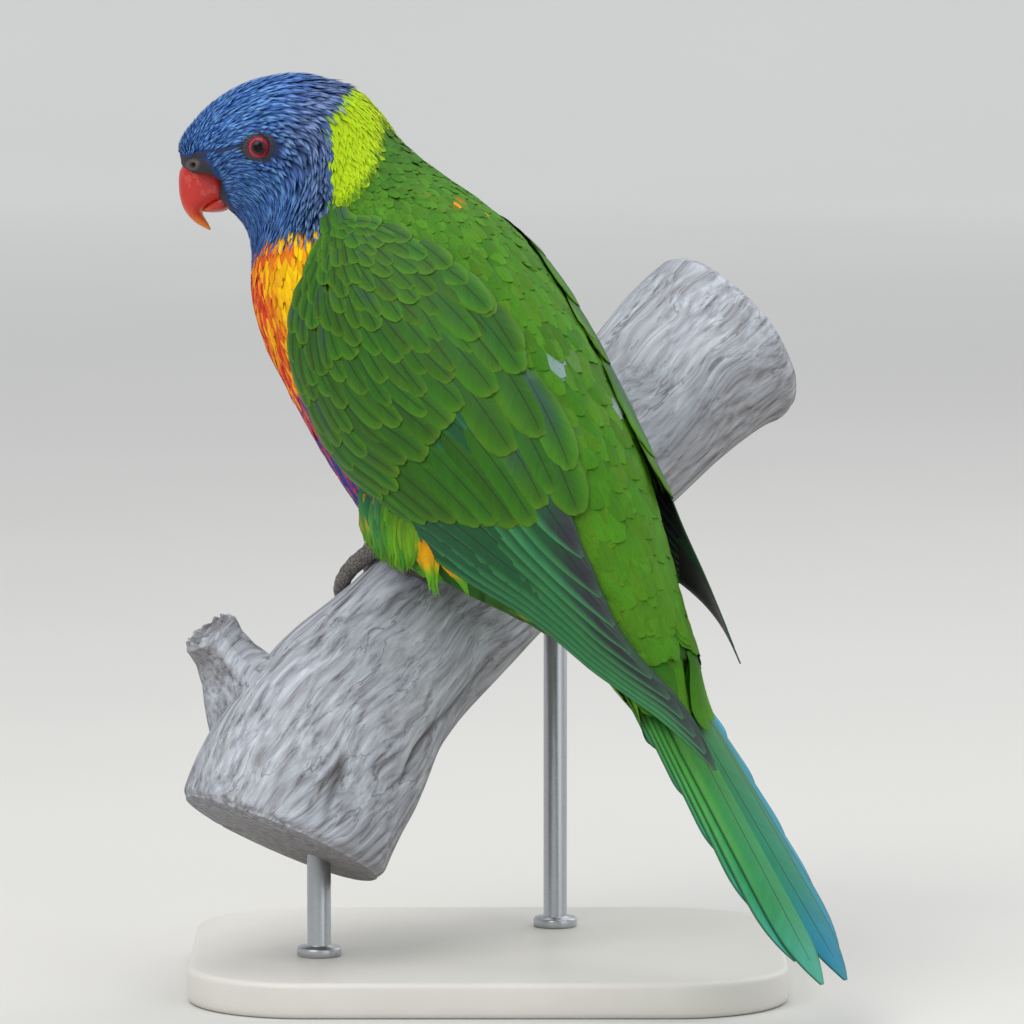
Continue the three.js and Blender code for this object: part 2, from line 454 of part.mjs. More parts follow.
for (const [name, t] of [["stand_rod_lower", 1.25], ["stand_rod_upper", 5.15]]) {
  const f = perchFrame(t), x = f.mid.x, y = f.mid.y, top = f.mid.z - 8;
  const make = (r, low, high) => { const g = new THREE.CylinderGeometry(r, r, high - low, 12); g.rotateX(Math.PI / 2); g.translate(x, y, (low + high) / 2); return solid(g); };
  rods[name] = { rod: make(ROD_RADIUS, baseTop - 5, top), hole: make(ROD_RADIUS + GAP, top - 60, top + GAP), foot: make(ROD_RADIUS + GAP, baseTop - 5 - GAP, baseTop + 4) };
}
let perchSolidFinal = perch;
for (const r of Object.values(rods)) { stand = stand.subtract(r.foot); perchSolidFinal = perchSolidFinal.subtract(r.hole); }

// ---- the scene graph ----------------------------------------------------------------------------------------------
const bird = new THREE.Group();
const finish = {
  blue: [0x2f5fb0, 0.75], lime: [0xa9c41a, 0.75], green: [0x3f8a2b, 0.7], rump: [0x47932c, 0.7], wing: [0x347f2c, 0.62],
  dark: [0x1f241f, 0.6], tail: [0x2f9a63, 0.6], red: [0xc62f25, 0.35], horn: [0x5a5652, 0.55], skin: [0x77736d, 0.8],
  eye: [0xa83244, 0.1], wood: [0xa9a49d, 0.9], base: [0x3a3633, 0.5], steel: [0xb9bcbf, 0.3],
};
function add(name, s, [colour, roughness], metalness = 0) {
  const mesh = new THREE.Mesh(geometryOfSolid(s), new THREE.MeshStandardMaterial({ color: colour, roughness, metalness }));
  mesh.name = name;
  bird.add(mesh);
}
add("head", largest(headSolid), finish.blue);
add("neck", largest(neck), finish.lime);
add("trunk", largest(trunk), finish.green);
add("rump", rump, finish.rump);
add("tail", tail, finish.tail);
add("wing_left", wings.left, finish.wing);
add("wing_right", wings.right, finish.dark);
for (const [k, s] of Object.entries(thighs)) add(k, s, finish.green);
for (const [k, s] of Object.entries(feet)) add(k, s, finish.skin);
for (const [k, s] of Object.entries(claws)) add(k, largest(s.subtract(perchClear)), finish.horn);
add("bill_upper", upperBill, finish.red);
add("bill_lower", lowerFinal, finish.red);
for (const k of ["left", "right"]) add("eye_" + k, eyes[k].ball, finish.eye);
add("perch", perchSolidFinal, finish.wood);
add("stand_base", stand, finish.base);
for (const [k, r] of Object.entries(rods)) add(k, r.rod, finish.steel, 1);

// The origin is under the middle of the whole model, on the plane the base stands on.
const part = new THREE.Group();
part.add(bird);
const box = new THREE.Box3().setFromObject(bird);
bird.position.set(-(box.min.x + box.max.x) / 2, -(box.min.y + box.max.y) / 2, -box.min.z);
export default part;
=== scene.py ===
# Rainbow lorikeet on a cut length of weathered branch over a flat display base.
import bpy
import numpy as np
from math import pi, sin, cos, radians, sqrt
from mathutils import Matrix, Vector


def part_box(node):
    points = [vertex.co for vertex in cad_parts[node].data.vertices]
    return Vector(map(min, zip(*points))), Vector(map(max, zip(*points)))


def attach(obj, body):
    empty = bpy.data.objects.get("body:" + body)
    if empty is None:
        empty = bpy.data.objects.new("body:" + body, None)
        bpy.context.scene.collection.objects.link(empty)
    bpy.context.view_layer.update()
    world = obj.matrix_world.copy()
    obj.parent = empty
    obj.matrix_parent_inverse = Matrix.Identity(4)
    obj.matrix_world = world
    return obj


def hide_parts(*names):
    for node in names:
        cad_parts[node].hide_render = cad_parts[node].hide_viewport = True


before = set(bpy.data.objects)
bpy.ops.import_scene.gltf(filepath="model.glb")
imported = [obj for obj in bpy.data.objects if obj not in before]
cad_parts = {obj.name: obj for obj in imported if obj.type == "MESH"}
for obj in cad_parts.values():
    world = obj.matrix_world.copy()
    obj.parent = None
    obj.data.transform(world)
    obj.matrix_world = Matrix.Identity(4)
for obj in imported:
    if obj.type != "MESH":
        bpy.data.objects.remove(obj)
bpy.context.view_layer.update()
rng = np.random.default_rng(20417)
MM = 0.001

# ---------------------------------------------------------------------------------------------------- body's frame
TILT, DIST = radians(6.0), 2000.0
def place(u, v, d):
    k = 1.0
    for _ in range(6):
        z = (v * k - d * sin(TILT)) / cos(TILT)
        k = (DIST + d * cos(TILT) - z * sin(TILT)) / DIST
    return np.array([u * k, d, z])

def course(rows, ts, t):
    rows, ts, t = np.asarray(rows, float), np.asarray(ts, float), np.atleast_1d(np.asarray(t, float))
    m = np.empty_like(rows)
    m[0] = (rows[1] - rows[0]) / (ts[1] - ts[0]); m[-1] = (rows[-1] - rows[-2]) / (ts[-1] - ts[-2])
    m[1:-1] = (rows[2:] - rows[:-2]) / (ts[2:] - ts[:-2])[:, None]
    i = np.clip(np.searchsorted(ts, t) - 1, 0, len(ts) - 2)
    h = (ts[i + 1] - ts[i])[:, None]; s = ((t - ts[i])[:, None]) / h
    return (2*s**3-3*s**2+1)*rows[i] + (s**3-2*s**2+s)*h*m[i] + (3*s**2-2*s**3)*rows[i+1] + (s**3-s**2)*h*m[i+1]

# u, v, depth, yaw, tilt, half width, half height at each station from the bill's root to the tail's root
BODY = [
 (-76.25,82,34.5,5,-48,5.5,8.5),(-76.25,83.25,34.4,5,-42,7.6,10.6),(-75.5,84.5,34.2,5,-34,9.4,12),(-73.5,86.1,34,5,-23.5,11,13.7),
 (-70.75,87.75,33.8,5,-13,12.4,15.7),(-67.25,89.1,33.6,5,-2.4,13.6,17.8),(-63.4,89.3,33.3,5,6.8,14.6,20),(-59.4,88.8,33,6,15.4,15.5,22),
 (-55.5,87,32.5,8,23.5,16.2,23.6),(-51.75,84.4,31.5,12,31,17,25.3),(-48.75,80,30,17,38,18.5,26),(-46,74,28,24,44,21,27),
 (-40.5,67,24,32,50,25.5,30),(-34.5,59.25,19,37,50,29,33.5),(-27,49.75,12.6,40,49,31.5,36),(-19.75,38.75,6.7,40,49,32.5,37),
 (-12.5,27.25,.6,40,49,32.5,37),(-5.5,16,-5.2,40,49,31.5,36),(2.5,5,-11.9,40,49,29,33),(11,-5,-19,40,49,25,28),
 (19,-14.5,-25.7,40,49,20.5,22),(26.25,-24,-31.7,40,49,17,16.5),(32,-32.75,-36.5,40,49,14.5,12.5),(37.25,-42,-40.9,40,49,13,9.5)]
WINGC = BODY[:21] + [(26.25,-24,-31.7,40,49,17.5,17.5),(33.25,-34.5,-37.6,40,49,15,13.5),(40.75,-47,-43.9,40,49,12.5,10),
 (47,-57.5,-49.1,40,49,11,8),(52.5,-67,-53.7,40,49,10,7)]
ROUND = 2.12
STEP = 0.02
class Course:
    def __init__(self, rows):
        n = len(rows) - 1
        self.n = n
        t = np.arange(0, n + STEP / 2, STEP)
        r = course(rows, np.arange(n + 1), t)
        mid = np.array([place(a, b, c) for a, b, c in r[:, :3]])
        yaw, tilt = np.radians(r[:, 3]), np.radians(r[:, 4])
        z = np.zeros_like(yaw)
        ahead = np.stack([-np.cos(yaw), np.sin(yaw), z], 1)
        left = np.stack([-np.sin(yaw), -np.cos(yaw), z], 1)
        dors = -np.sin(tilt)[:, None] * ahead + np.cos(tilt)[:, None] * np.array([0, 0, 1.0])
        self.T = np.concatenate([mid, left, dors, r[:, 5:7]], 1)
    def at(self, s):
        x = np.clip(np.asarray(s, float), 0, self.n) / STEP
        i = np.minimum(x.astype(int), len(self.T) - 2); f = (x - i)[..., None]
        return self.T[i] * (1 - f) + self.T[i + 1] * f
    def point(self, s, phi):
        q = self.at(s); c, d = np.cos(phi), np.sin(phi); e = 2 / ROUND
        return (q[..., 0:3] + q[..., 3:6] * (np.sign(d) * np.abs(d) ** e * q[..., 9])[..., None]
                + q[..., 6:9] * (np.sign(c) * np.abs(c) ** e * q[..., 10])[..., None])
    def grad(self, s, phi):
        h, g = 0.04, 0.02
        s1 = np.clip(s + h, 0, self.n); s0 = np.clip(s - h, 0, self.n)
        ps = (self.point(s1, phi) - self.point(s0, phi)) / (s1 - s0)[..., None]
        pf = (self.point(s, phi + g) - self.point(s, phi - g)) / (2 * g)
        n = np.cross(pf, ps); n /= np.linalg.norm(n, axis=-1, keepdims=True) + 1e-12
        out = self.point(s, phi) - self.at(s)[..., 0:3]
        n *= np.sign((n * out).sum(-1, keepdims=True) + 1e-9)
        return ps, pf, n
body, wingc = Course(BODY), Course(WINGC)

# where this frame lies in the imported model
TAIL_LEN, HANG = 86.0, radians(53)
root = body.at(np.array(23.0)); R_MID, R_LEFT, R_DORS = root[0:3], root[3:6], root[6:9]
T_ALONG = np.array([cos(radians(40)) * cos(HANG), -sin(radians(40)) * cos(HANG), -sin(HANG)])
T_UP = np.cross(R_LEFT, T_ALONG); T_UP /= np.linalg.norm(T_UP); T_UP *= np.sign(T_UP @ R_DORS)
def tail_point(along, across, up):
    return R_MID + T_ALONG * np.asarray(along)[..., None] + R_LEFT * np.asarray(across)[..., None] + T_UP * np.asarray(up)[..., None]
lo, hi = (np.array(p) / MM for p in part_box("stand_base"))
base_top = tail_point(TAIL_LEN * 1.02, 0.0, 0.0)[2] - 4.5
OFF = np.array([(lo[0] + hi[0]) / 2 + 6, (lo[1] + hi[1]) / 2 - 16, hi[2] - base_top])

def smooth(a, b, x):
    t = np.clip((np.asarray(x, float) - a) / (b - a), 0, 1); return t * t * (3 - 2 * t)
def mix(a, b, t):
    t = np.asarray(t, float)[..., None]; return np.asarray(a) * (1 - t) + np.asarray(b) * t
def srgb(h):
    c = np.array([int(h[i:i + 2], 16) / 255 for i in (0, 2, 4)])
    return np.where(c <= 0.04045, c / 12.92, ((c + 0.055) / 1.055) ** 2.4)

# ---------------------------------------------------------------------------------------------------- mesh making
def make_mesh(name, verts, quads, mat, smooth_shade=True, tris=None):
    me = bpy.data.meshes.new(name)
    verts = (np.asarray(verts, float).reshape(-1, 3) + OFF) * MM
    quads = np.asarray(quads, np.int32).reshape(-1, 4) if len(quads) else np.zeros((0, 4), np.int32)
    tris = np.asarray(tris, np.int32).reshape(-1, 3) if tris is not None and len(tris) else np.zeros((0, 3), np.int32)
    me.vertices.add(len(verts)); me.vertices.foreach_set("co", verts.astype(np.float32).ravel())
    nl = len(quads) * 4 + len(tris) * 3
    me.loops.add(nl); me.polygons.add(len(quads) + len(tris))
    me.loops.foreach_set("vertex_index", np.concatenate([quads.ravel(), tris.ravel()]).astype(np.int32))
    starts = np.concatenate([np.arange(len(quads)) * 4, len(quads) * 4 + np.arange(len(tris)) * 3]).astype(np.int32)
    me.polygons.foreach_set("loop_start", starts)
    me.update(calc_edges=True)
    me.polygons.foreach_set("use_smooth", np.full(len(me.polygons), smooth_shade))
    ob = bpy.data.objects.new(name, me); bpy.context.scene.collection.objects.link(ob)
    if mat: me.materials.append(mat)
    return ob
def put_attr(ob, name, kind, data):
    at = ob.data.attributes.new(name, kind, "POINT")
    data = np.asarray(data, np.float32)
    if kind == "FLOAT_COLOR":
        data = np.concatenate([data, np.ones((len(data), 1), np.float32)], 1); at.data.foreach_set("color", data.ravel())
    elif kind == "FLOAT_VECTOR": at.data.foreach_set("vector", data.ravel())
    else: at.data.foreach_set("value", data.ravel())
def put_uv(ob, uv):
    me = ob.data; lay = me.uv_layers.new(name="OFBake")
    idx = np.empty(len(me.loops), np.int32); me.loops.foreach_get("vertex_index", idx)
    lay.data.foreach_set("uv", np.asarray(uv, np.float32)[idx].ravel())

def grid_quads(n, k, c, closed=False):
    """faces of n grids of k rows and c columns"""
    cc = c if closed else c - 1
    a = np.arange(k - 1)[:, None] * c + np.arange(cc)[None, :]
    b = np.arange(k - 1)[:, None] * c + (np.arange(cc)[None, :] + 1) % c
    q = np.stack([a, b, b + c, a + c], -1).reshape(-1, 4)
    return (q[None] + (np.arange(n) * k * c)[:, None, None]).reshape(-1, 4)

def qs(K):
    return 1 - (1 - np.linspace(0, 1, K)) ** 1.55
def walk(C, s0, f0, length, head, rows):
    """course of each feather's shaft over the surface: s0, f0 (N), length (N) mm, head (N) rad towards +phi"""
    N = len(s0); q = qs(rows); s, f = s0.astype(float).copy(), f0.astype(float).copy()
    P, Nn = np.empty((N, rows, 3)), np.empty((N, rows, 3))
    for k in range(rows):
        ps, pf, n = C.grad(s, f)
        P[:, k], Nn[:, k] = C.point(s, f), n
        if k < rows - 1:
            st = length * (q[k + 1] - q[k])
            s = s + np.cos(head) * st / (np.linalg.norm(ps, axis=1) + 1e-9)
            f = f + np.sin(head) * st / (np.linalg.norm(pf, axis=1) + 1e-9)
            over = np.maximum(s - C.n, 0)
            s = np.minimum(s, C.n)
    return P, Nn

def outline(q, kind):
    if kind == "round":   return (0.6 + 0.4 * smooth(0, 0.5, q)) * np.sqrt(np.clip(1 - (np.clip(q - 0.52, 0, 1) / 0.485) ** 2.3, 0.004, 1))
    if kind == "hackle":  return np.clip((0.45 + 0.55 * smooth(0, 0.3, q)) * (1 - smooth(0.35, 1.03, q) ** 1.1), 0.03, 1)
    if kind == "flight":  return np.clip((0.7 + 0.3 * smooth(0, 0.25, q)) * np.sqrt(np.clip(1 - smooth(0.72, 1.01, q) ** 2, 0.002, 1)), 0.03, 1)
    if kind == "pointed": return np.clip((0.7 + 0.3 * smooth(0, 0.3, q)) * np.sqrt(np.clip(1 - smooth(0.5, 1.02, q) ** 1.6, 0.002, 1)), 0.03, 1)
    return np.ones_like(q)

UV_PATCH = 0.003
def vanes(name, P, Nn, half, kind, colour, uvroot, mat, cols=5, camber=0.25, curve_r=30.0, rows_lift=None, skew=None, ragged=0.05, thick=0.0, bend=None):
    """a joined mesh of feathers. P, Nn (N,K,3); half (N) half width mm; colour f(c, q) -> (N,K,C,3)"""
    N, K = P.shape[:2]
    q = qs(K); c = np.linspace(-1, 1, cols)
    prof = outline(q, kind)[None, :] * half[:, None]
    prof = prof * (1 + ragged * rng.standard_normal((N, K)) * smooth(0.2, 0.6, q)[None])
    if rows_lift is not None: P = P + Nn * rows_lift[..., None]
    T = np.gradient(P, axis=1); T /= np.linalg.norm(T, axis=-1, keepdims=True) + 1e-12
    side = np.cross(T, Nn); side /= np.linalg.norm(side, axis=-1, keepdims=True) + 1e-12
    up = np.cross(side, T)
    w = prof[:, :, None] * c[None, None, :]
    if skew is not None: w = w + prof[:, :, None] * skew[:, None, None] * (1 - c ** 2)[None, None, :]
    drop = (w ** 2) / (2 * curve_r) + camber * prof[:, :, None] * (c ** 2)[None, None, :]
    V = P[:, :, None] + side[:, :, None] * w[..., None] - up[:, :, None] * drop[..., None]
    # the vane's barbs sweep back from the shaft, so its edges lie a little behind
    V = V + T[:, :, None] * (np.abs(w) * 0.10)[..., None]
    Q, Cc = np.meshgrid(q, c, indexing="ij")
    rand = rng.random(N)
    vane = np.stack([np.broadcast_to(Cc, (N, K, cols)), np.broadcast_to(Q, (N, K, cols)), np.broadcast_to(rand[:, None, None], (N, K, cols))], -1)
    length = np.linalg.norm(np.diff(P, axis=1), axis=-1).sum(1)
    dims = np.stack([np.broadcast_to(length[:, None, None], (N, K, cols)), np.broadcast_to(half[:, None, None], (N, K, cols)), np.zeros((N, K, cols))], -1)
    col = colour(Cc, Q, N)
    uv = uvroot[:, None, None, :] + np.stack([(Cc * 0.5) * UV_PATCH, (Q - 0.5) * UV_PATCH], -1)[None]
    quads = grid_quads(N, K, cols)
    V, vane, dims, col, uv = (a.reshape(-1, a.shape[-1]) for a in (V, vane, dims, np.broadcast_to(col, (N, K, cols, 3)), uv))
    if thick > 0:
        upf = np.broadcast_to(up[:, :, None], (N, K, cols, 3)).reshape(-1, 3)
        n0 = len(V)
        V = np.concatenate([V + upf * thick / 2, V - upf * thick / 2]); vane = np.concatenate([vane] * 2); dims = np.concatenate([dims] * 2)
        # painted shade: the underside copy of each thick feather takes its colour at 0.75
        col = np.concatenate([col, col * 0.75]); uv = np.concatenate([uv] * 2)
        rim = []
        kc = K * cols
        for k in range(K - 1): rim += [(k * cols, (k + 1) * cols), ((k + 1) * cols + cols - 1, k * cols + cols - 1)]
        for j in range(cols - 1): rim += [(j + 1, j), ((K - 1) * cols + j, (K - 1) * cols + j + 1)]
        rim = np.array(rim)
        rq = (np.stack([rim[:, 0], rim[:, 1], rim[:, 1] + n0, rim[:, 0] + n0], 1)[None] + (np.arange(N) * kc)[:, None, None]).reshape(-1, 4)
        quads = np.concatenate([quads, quads[:, ::-1] + n0, rq])
    ob = make_mesh(name, V, quads, mat)
    put_attr(ob, "vane", "FLOAT_VECTOR", vane); put_attr(ob, "dims", "FLOAT_VECTOR", dims); put_attr(ob, "tint", "FLOAT_COLOR", np.clip(col, 0, 1))
    put_uv(ob, uv)
    return ob

# ---------------------------------------------------------------------------------------------------- materials
class M:
    def __init__(self, name):
        self.m = bpy.data.materials.new(name); self.m.use_nodes = True
        self.nt = self.m.node_tree; self.nt.nodes.clear()
        self.out = self.nt.nodes.new("ShaderNodeOutputMaterial"); self.p = self.nt.nodes.new("ShaderNodeBsdfPrincipled")
        self.nt.links.new(self.p.outputs[0], self.out.inputs[0])
    def n(self, kind, **kw):
        nd = self.nt.nodes.new(kind)
        for k, v in kw.items():
            if k == "ins":
                for a, b in v.items():
                    if hasattr(b, "is_output") or isinstance(b, bpy.types.NodeSocket): self.nt.links.new(b, nd.inputs[a])
                    else: nd.inputs[a].default_value = b
            else: setattr(nd, k, v)
        return nd
    def math(self, op, a, b=0.0, c=0.0):
        nd = self.nt.nodes.new("ShaderNodeMath"); nd.operation = op
        for i, x in enumerate((a, b, c)):
            if isinstance(x, bpy.types.NodeSocket): self.nt.links.new(x, nd.inputs[i])
            else: nd.inputs[i].default_value = x
        return nd.outputs[0]
    def attr(self, name): return self.n("ShaderNodeAttribute", attribute_name=name)
    def mixc(self, f, a, b, blend="MIX"):
        nd = self.nt.nodes.new("ShaderNodeMix"); nd.data_type = "RGBA"; nd.blend_type = blend
        for s, x in ((nd.inputs[0], f), (nd.inputs[6], a), (nd.inputs[7], b)):
            if isinstance(x, bpy.types.NodeSocket): self.nt.links.new(x, s)
            else: s.default_value = x if not hasattr(x, "__len__") else (*x[:3], 1.0)
        return nd.outputs[2]
    def ramp(self, f, stops, mode="LINEAR"):
        nd = self.nt.nodes.new("ShaderNodeValToRGB"); nd.color_ramp.interpolation = mode; self.nt.links.new(f, nd.inputs[0])
        el = nd.color_ramp.elements
        while len(el) < len(stops): el.new(0.5)
        for e, (pos, colr) in zip(el, stops): e.position = pos; e.color = (*colr[:3], 1.0) if hasattr(colr, "__len__") else (colr, colr, colr, 1)
        return nd.outputs[0]
    def set(self, **kw):
        for k, v in kw.items():
            s = self.p.inputs[k.replace("_", " ")]
            if isinstance(v, bpy.types.NodeSocket): self.nt.links.new(v, s)
            else: s.default_value = v
        return self

def feather_material(name, shaft=0.35, barb=0.25, edge=0.18, line=0.0, edge_col=(0.42, 0.55, 0.10), rough=0.52, sheen=0.3, streak=0.0, bump=0.35, spec=0.35):
    m = M(name); v = m.attr("vane"); d = m.attr("dims"); t = m.attr("tint")
    x = m.n("ShaderNodeSeparateXYZ", ins={0: v.outputs["Vector"]}); L = m.n("ShaderNodeSeparateXYZ", ins={0: d.outputs["Vector"]})
    c, q, r = x.outputs; ln, hw, _ = L.outputs
    ac = m.math("ABSOLUTE", c)
    # barbs: fine lines sweeping back from the shaft, 3 to a millimetre
    pos = m.math("SUBTRACT", m.math("MULTIPLY", q, ln), m.math("MULTIPLY", m.math("MULTIPLY", ac, hw), 0.9))
    nz = m.n("ShaderNodeTexNoise", noise_dimensions="3D", ins={"Vector": m.n("ShaderNodeCombineXYZ", ins={0: m.math("MULTIPLY", pos, 2.6), 1: m.math("MULTIPLY", ac, 1.2), 2: m.math("MULTIPLY", r, 57.0)}).outputs[0], "Scale": 1.0, "Detail": 3.0, "Roughness": 0.65})
    lines = nz.outputs[0]
    big = m.n("ShaderNodeTexNoise", noise_dimensions="3D", ins={"Vector": m.n("ShaderNodeCombineXYZ", ins={0: m.math("MULTIPLY", pos, 0.35), 1: m.math("MULTIPLY", c, 0.8), 2: m.math("MULTIPLY", r, 31.0)}).outputs[0], "Scale": 1.0, "Detail": 1.0})
    col = t.outputs["Color"]
    val = m.math("ADD", 1.0 - barb / 2 - 0.0, m.math("MULTIPLY", m.math("SUBTRACT", lines, 0.3), barb * 1.6))
    val = m.math("MULTIPLY", val, m.math("ADD", 0.86, m.math("MULTIPLY", big.outputs[0], 0.28)))
    val = m.math("MULTIPLY", val, m.math("ADD", 0.90, m.math("MULTIPLY", r, 0.2)))
    hsv = m.n("ShaderNodeHueSaturation", ins={"Hue": m.math("ADD", 0.492, m.math("MULTIPLY", r, 0.016)), "Saturation": 1.0, "Value": val, "Color": col})
    col = hsv.outputs[0]
    sh = m.math("MULTIPLY", m.math("LESS_THAN", m.math("MULTIPLY", ac, hw), 0.16), m.math("LESS_THAN", q, 0.93))
    if shaft: col = m.mixc(m.math("MULTIPLY", sh, abs(shaft)), col, (0.012, 0.016, 0.014) if shaft > 0 else (0.55, 0.66, 0.9))
    if edge:
        rim = m.math("SMOOTH_MIN", 1.0, m.math("POWER", m.math("MAXIMUM", ac, m.math("POWER", q, 3.0)), 9.0), 0.1)
        col = m.mixc(m.math("MULTIPLY", rim, edge), col, edge_col)
    # painted shade: a thin near-black line along each vane's edge, for the shade where the next feather overlaps
    if line: col = m.mixc(m.math("MULTIPLY", m.math("GREATER_THAN", ac, 0.95), line), col, (0.006, 0.012, 0.008))
    bh = m.math("ADD", m.math("MULTIPLY", lines, 1.0), m.math("MULTIPLY", sh, 0.9))
    bp = m.n("ShaderNodeBump", ins={"Strength": bump, "Distance": 0.0003, "Height": bh})
    m.set(Base_Color=col, Roughness=rough, Normal=bp.outputs[0])
    m.set(Sheen_Weight=sheen, Sheen_Roughness=0.4, Specular_IOR_Level=spec)
    m.p.inputs["Sheen Tint"].default_value = (0.8, 1.0, 0.75, 1)
    return m.m

# ---------------------------------------------------------------------------------------------------- markings
BLUE, BLUE_D, BLUE_L, BLUE_V = srgb("1d60c0"), srgb("0f3480"), srgb("7ab4f6"), srgb("465a84")
LIME, LIME_Y = srgb("a8cf0a"), srgb("c6dc14")
GREEN, GREEN_L, GREEN_D, GREEN_B = srgb("326c12"), srgb("619a1c"), srgb("1c4a12"), srgb("2f6d5c")
YELLOW, ORANGE, RED = srgb("ffc800"), srgb("ff8a05"), srgb("dd3a18")
VIOLET, TEAL = srgb("2c2f7d"), srgb("1f7a5e")
GREY = srgb("7b7f85")
def border(phi, pts):
    a = np.degrees(np.abs((np.asarray(phi) + pi) % (2 * pi) - pi)); x, y = zip(*pts); return np.interp(a, x, y)
HEAD_BACK = [(0, 8.75), (28, 8.9), (44, 9.1), (54, 9.4), (58, 10.2), (60, 11.1), (66, 11.7), (72, 12.45), (78, 12.15), (92, 11.6), (110, 10.95), (142, 9.65), (180, 9.1)]
COLLAR_BACK = [(0, 10.2), (12, 10.65), (30, 11.3), (48, 11.7), (58, 11.75), (62, 11.5), (66, 11.2), (180, 8)]
def marking(s, phi, tip=0.5, rnd=0.5):
    """colour of the plumage at a station and angle, tip 0 root .. 1 end of a feather"""
    s, phi = np.asarray(s, float), np.asarray(phi, float)
    a = np.degrees(np.abs((phi + pi) % (2 * pi) - pi)); tip = np.broadcast_to(tip, s.shape); rnd = np.broadcast_to(rnd, s.shape)
    hb, cb = border(phi, HEAD_BACK), border(phi, COLLAR_BACK)
    col = mix(GREEN, GREEN_L, np.clip(0.45 * rnd + 0.35 * tip - 0.1, 0, 1))
    # head: deep blue, darker round the face's underside, greyer violet on the rear crown
    head = mix(BLUE_D, BLUE, 0.45 + 0.55 * tip); head = mix(head, BLUE_L, 0.35 * rnd * tip)
    rear = smooth(6.6, 8.6, s) * (1 - smooth(70, 100, a)); head = mix(head, BLUE_V, 0.7 * rear)
    throat = smooth(95, 130, a) * smooth(6, 9, s); head = mix(head, srgb("1c4ca6"), 0.7 * throat)
    dark = smooth(10.6, 11.8, s) * smooth(58, 66, a); head = mix(head, srgb("1f4060"), 0.7 * dark)
    # breast: yellow at the side, barred red and orange to the middle, violet below
    br = mix(YELLOW, ORANGE, np.clip(smooth(104, 135, a) * 0.7 + 0.5 * smooth(0.75, 1.0, rnd), 0, 1)); br = mix(br, srgb("f0561c"), 0.8 * (1 - smooth(0.25, 0.9, s - hb)) * smooth(0.3, 0.6, rnd) * smooth(80, 90, a))
    bars = smooth(0.25, 0.6, tip) * smooth(100, 122, a) * smooth(0.25, 0.5, rnd); br = mix(br, RED, np.clip(bars, 0, 1))
    br = mix(br, srgb("d93a22"), 0.75 * smooth(132, 160, a))
    br = mix(br, VIOLET, 0.35 * smooth(0.85, 1, tip) * smooth(140, 160, a))
    belly = mix(VIOLET, srgb("3a3fa0"), 0.5 * tip); belly = mix(belly, RED, 0.8 * (1 - smooth(0.30, 0.42, rnd)) * smooth(0.3, .8, tip))
    # vent: green turning olive-yellow at the middle; the green is the real colour painted darker, as shade under the
    # folded wing
    vent = mix(srgb("30661c"), srgb("8a8a16"), np.clip(0.25 * (1 - tip) + 0.3 * rnd, 0, 1) * smooth(140, 165, a)); vent = mix(vent, GREEN_D, 0.45 * smooth(0.7, 1, tip))
    under = mix(br, belly, smooth(14.1, 14.9, s + 0.4 * (rnd - 0.5))); under = mix(under, vent, smooth(16.9, 17.8, s + 0.5 * (rnd - 0.5)))
    low = smooth(66, 71, a) * (s > 11.2) + (a > 71) * (s <= 11.2)
    low = np.clip(low, 0, 1) * (1 - smooth(18.5, 21.5, s) * (1 - smooth(110, 150, a)))
    # the green back reaches down the flank behind the shoulder
    flank = smooth(12.2, 12.8, s) * (1 - smooth(80, 90, a)) ; low = low * (1 - flank)
    col = mix(col, mix(GREEN, GREEN_L, 0.6), 0.5 * smooth(18, 21, s))
    col = mix(col, GREEN_D, 0.35 * (1 - smooth(11.2, 12.6, s)))
    col = mix(col, under, low)
    lime = mix(LIME, LIME_Y, 0.6 * rnd * tip + 0.4 * smooth(30, 0, a) * tip)
    isc = smooth(-0.12, 0.12, s - hb) * smooth(-0.2, 0.2, cb - s) * (a < 66)
    col = mix(col, lime, isc)
    col = mix(col, head, (1 - smooth(-0.02, 0.02, s - hb)))
    return col

# ---------------------------------------------------------------------------------------------------- skin and coat
def eye_site():
    best = None
    for s in np.arange(3, 8, 0.05):
        for a in range(40, 140):
            p = body.point(np.array(s), np.array(radians(a))); q = place(-63.3, 91.2, p[1]); d = np.hypot(q[0] - p[0], q[2] - p[2])
            if best is None or d < best[0]: best = (d, s, radians(a), p)
    return best
_, EYE_S, EYE_F, EYE_P = eye_site()
def from_eye(s, phi):
    return np.linalg.norm(body.point(s, np.abs((phi + pi) % (2 * pi) - pi)) - EYE_P, axis=-1)
CERE_P = body.point(np.array(0.9), np.array(0.0))
def lores(s, phi):
    """1 on the bare dark skin between the cere and the eye"""
    a = np.abs((phi + pi) % (2 * pi) - pi)
    P = body.point(s, a); A, B = EYE_P, body.point(np.array(2.0), np.array(radians(62)))
    t = np.clip(((P - A) @ (B - A)) / ((B - A) @ (B - A)), 0, 1); d = np.linalg.norm(P - (A + t[..., None] * (B - A)), axis=-1)
    return 1 - smooth(0.5, 1.1, d / (1.0 + 1.1 * (1 - t)) )
FACE_LINE = ([150, 178, 195, 208, 214, 222, 230, 236], [153, 156, 158, 162, 173, 190, 208, 220])
def front_px(P):
    k = (DIST + P[..., 1] * cos(TILT) - P[..., 2] * sin(TILT)) / DIST
    return 512 + 4 * P[..., 0] / k, 512 - 4 * (P[..., 2] * cos(TILT) + P[..., 1] * sin(TILT)) / k
def bare_face(s, phi, grow=0.0):
    """above 0 on the cere and round the bill's root"""
    a = np.abs((np.asarray(phi) + pi) % (2 * pi) - pi); px, py = front_px(body.point(s, np.clip(a, 0.03, 2.3)))
    d = (py - np.interp(px, *FACE_LINE)) / 4 + grow
    return np.where((px < 238) & (a < 2.6) & (np.asarray(s) < 6), d, -9.0)
def coat_depth(s, phi):
    return 0.35 + 0.9 * smooth(3, 12, s)

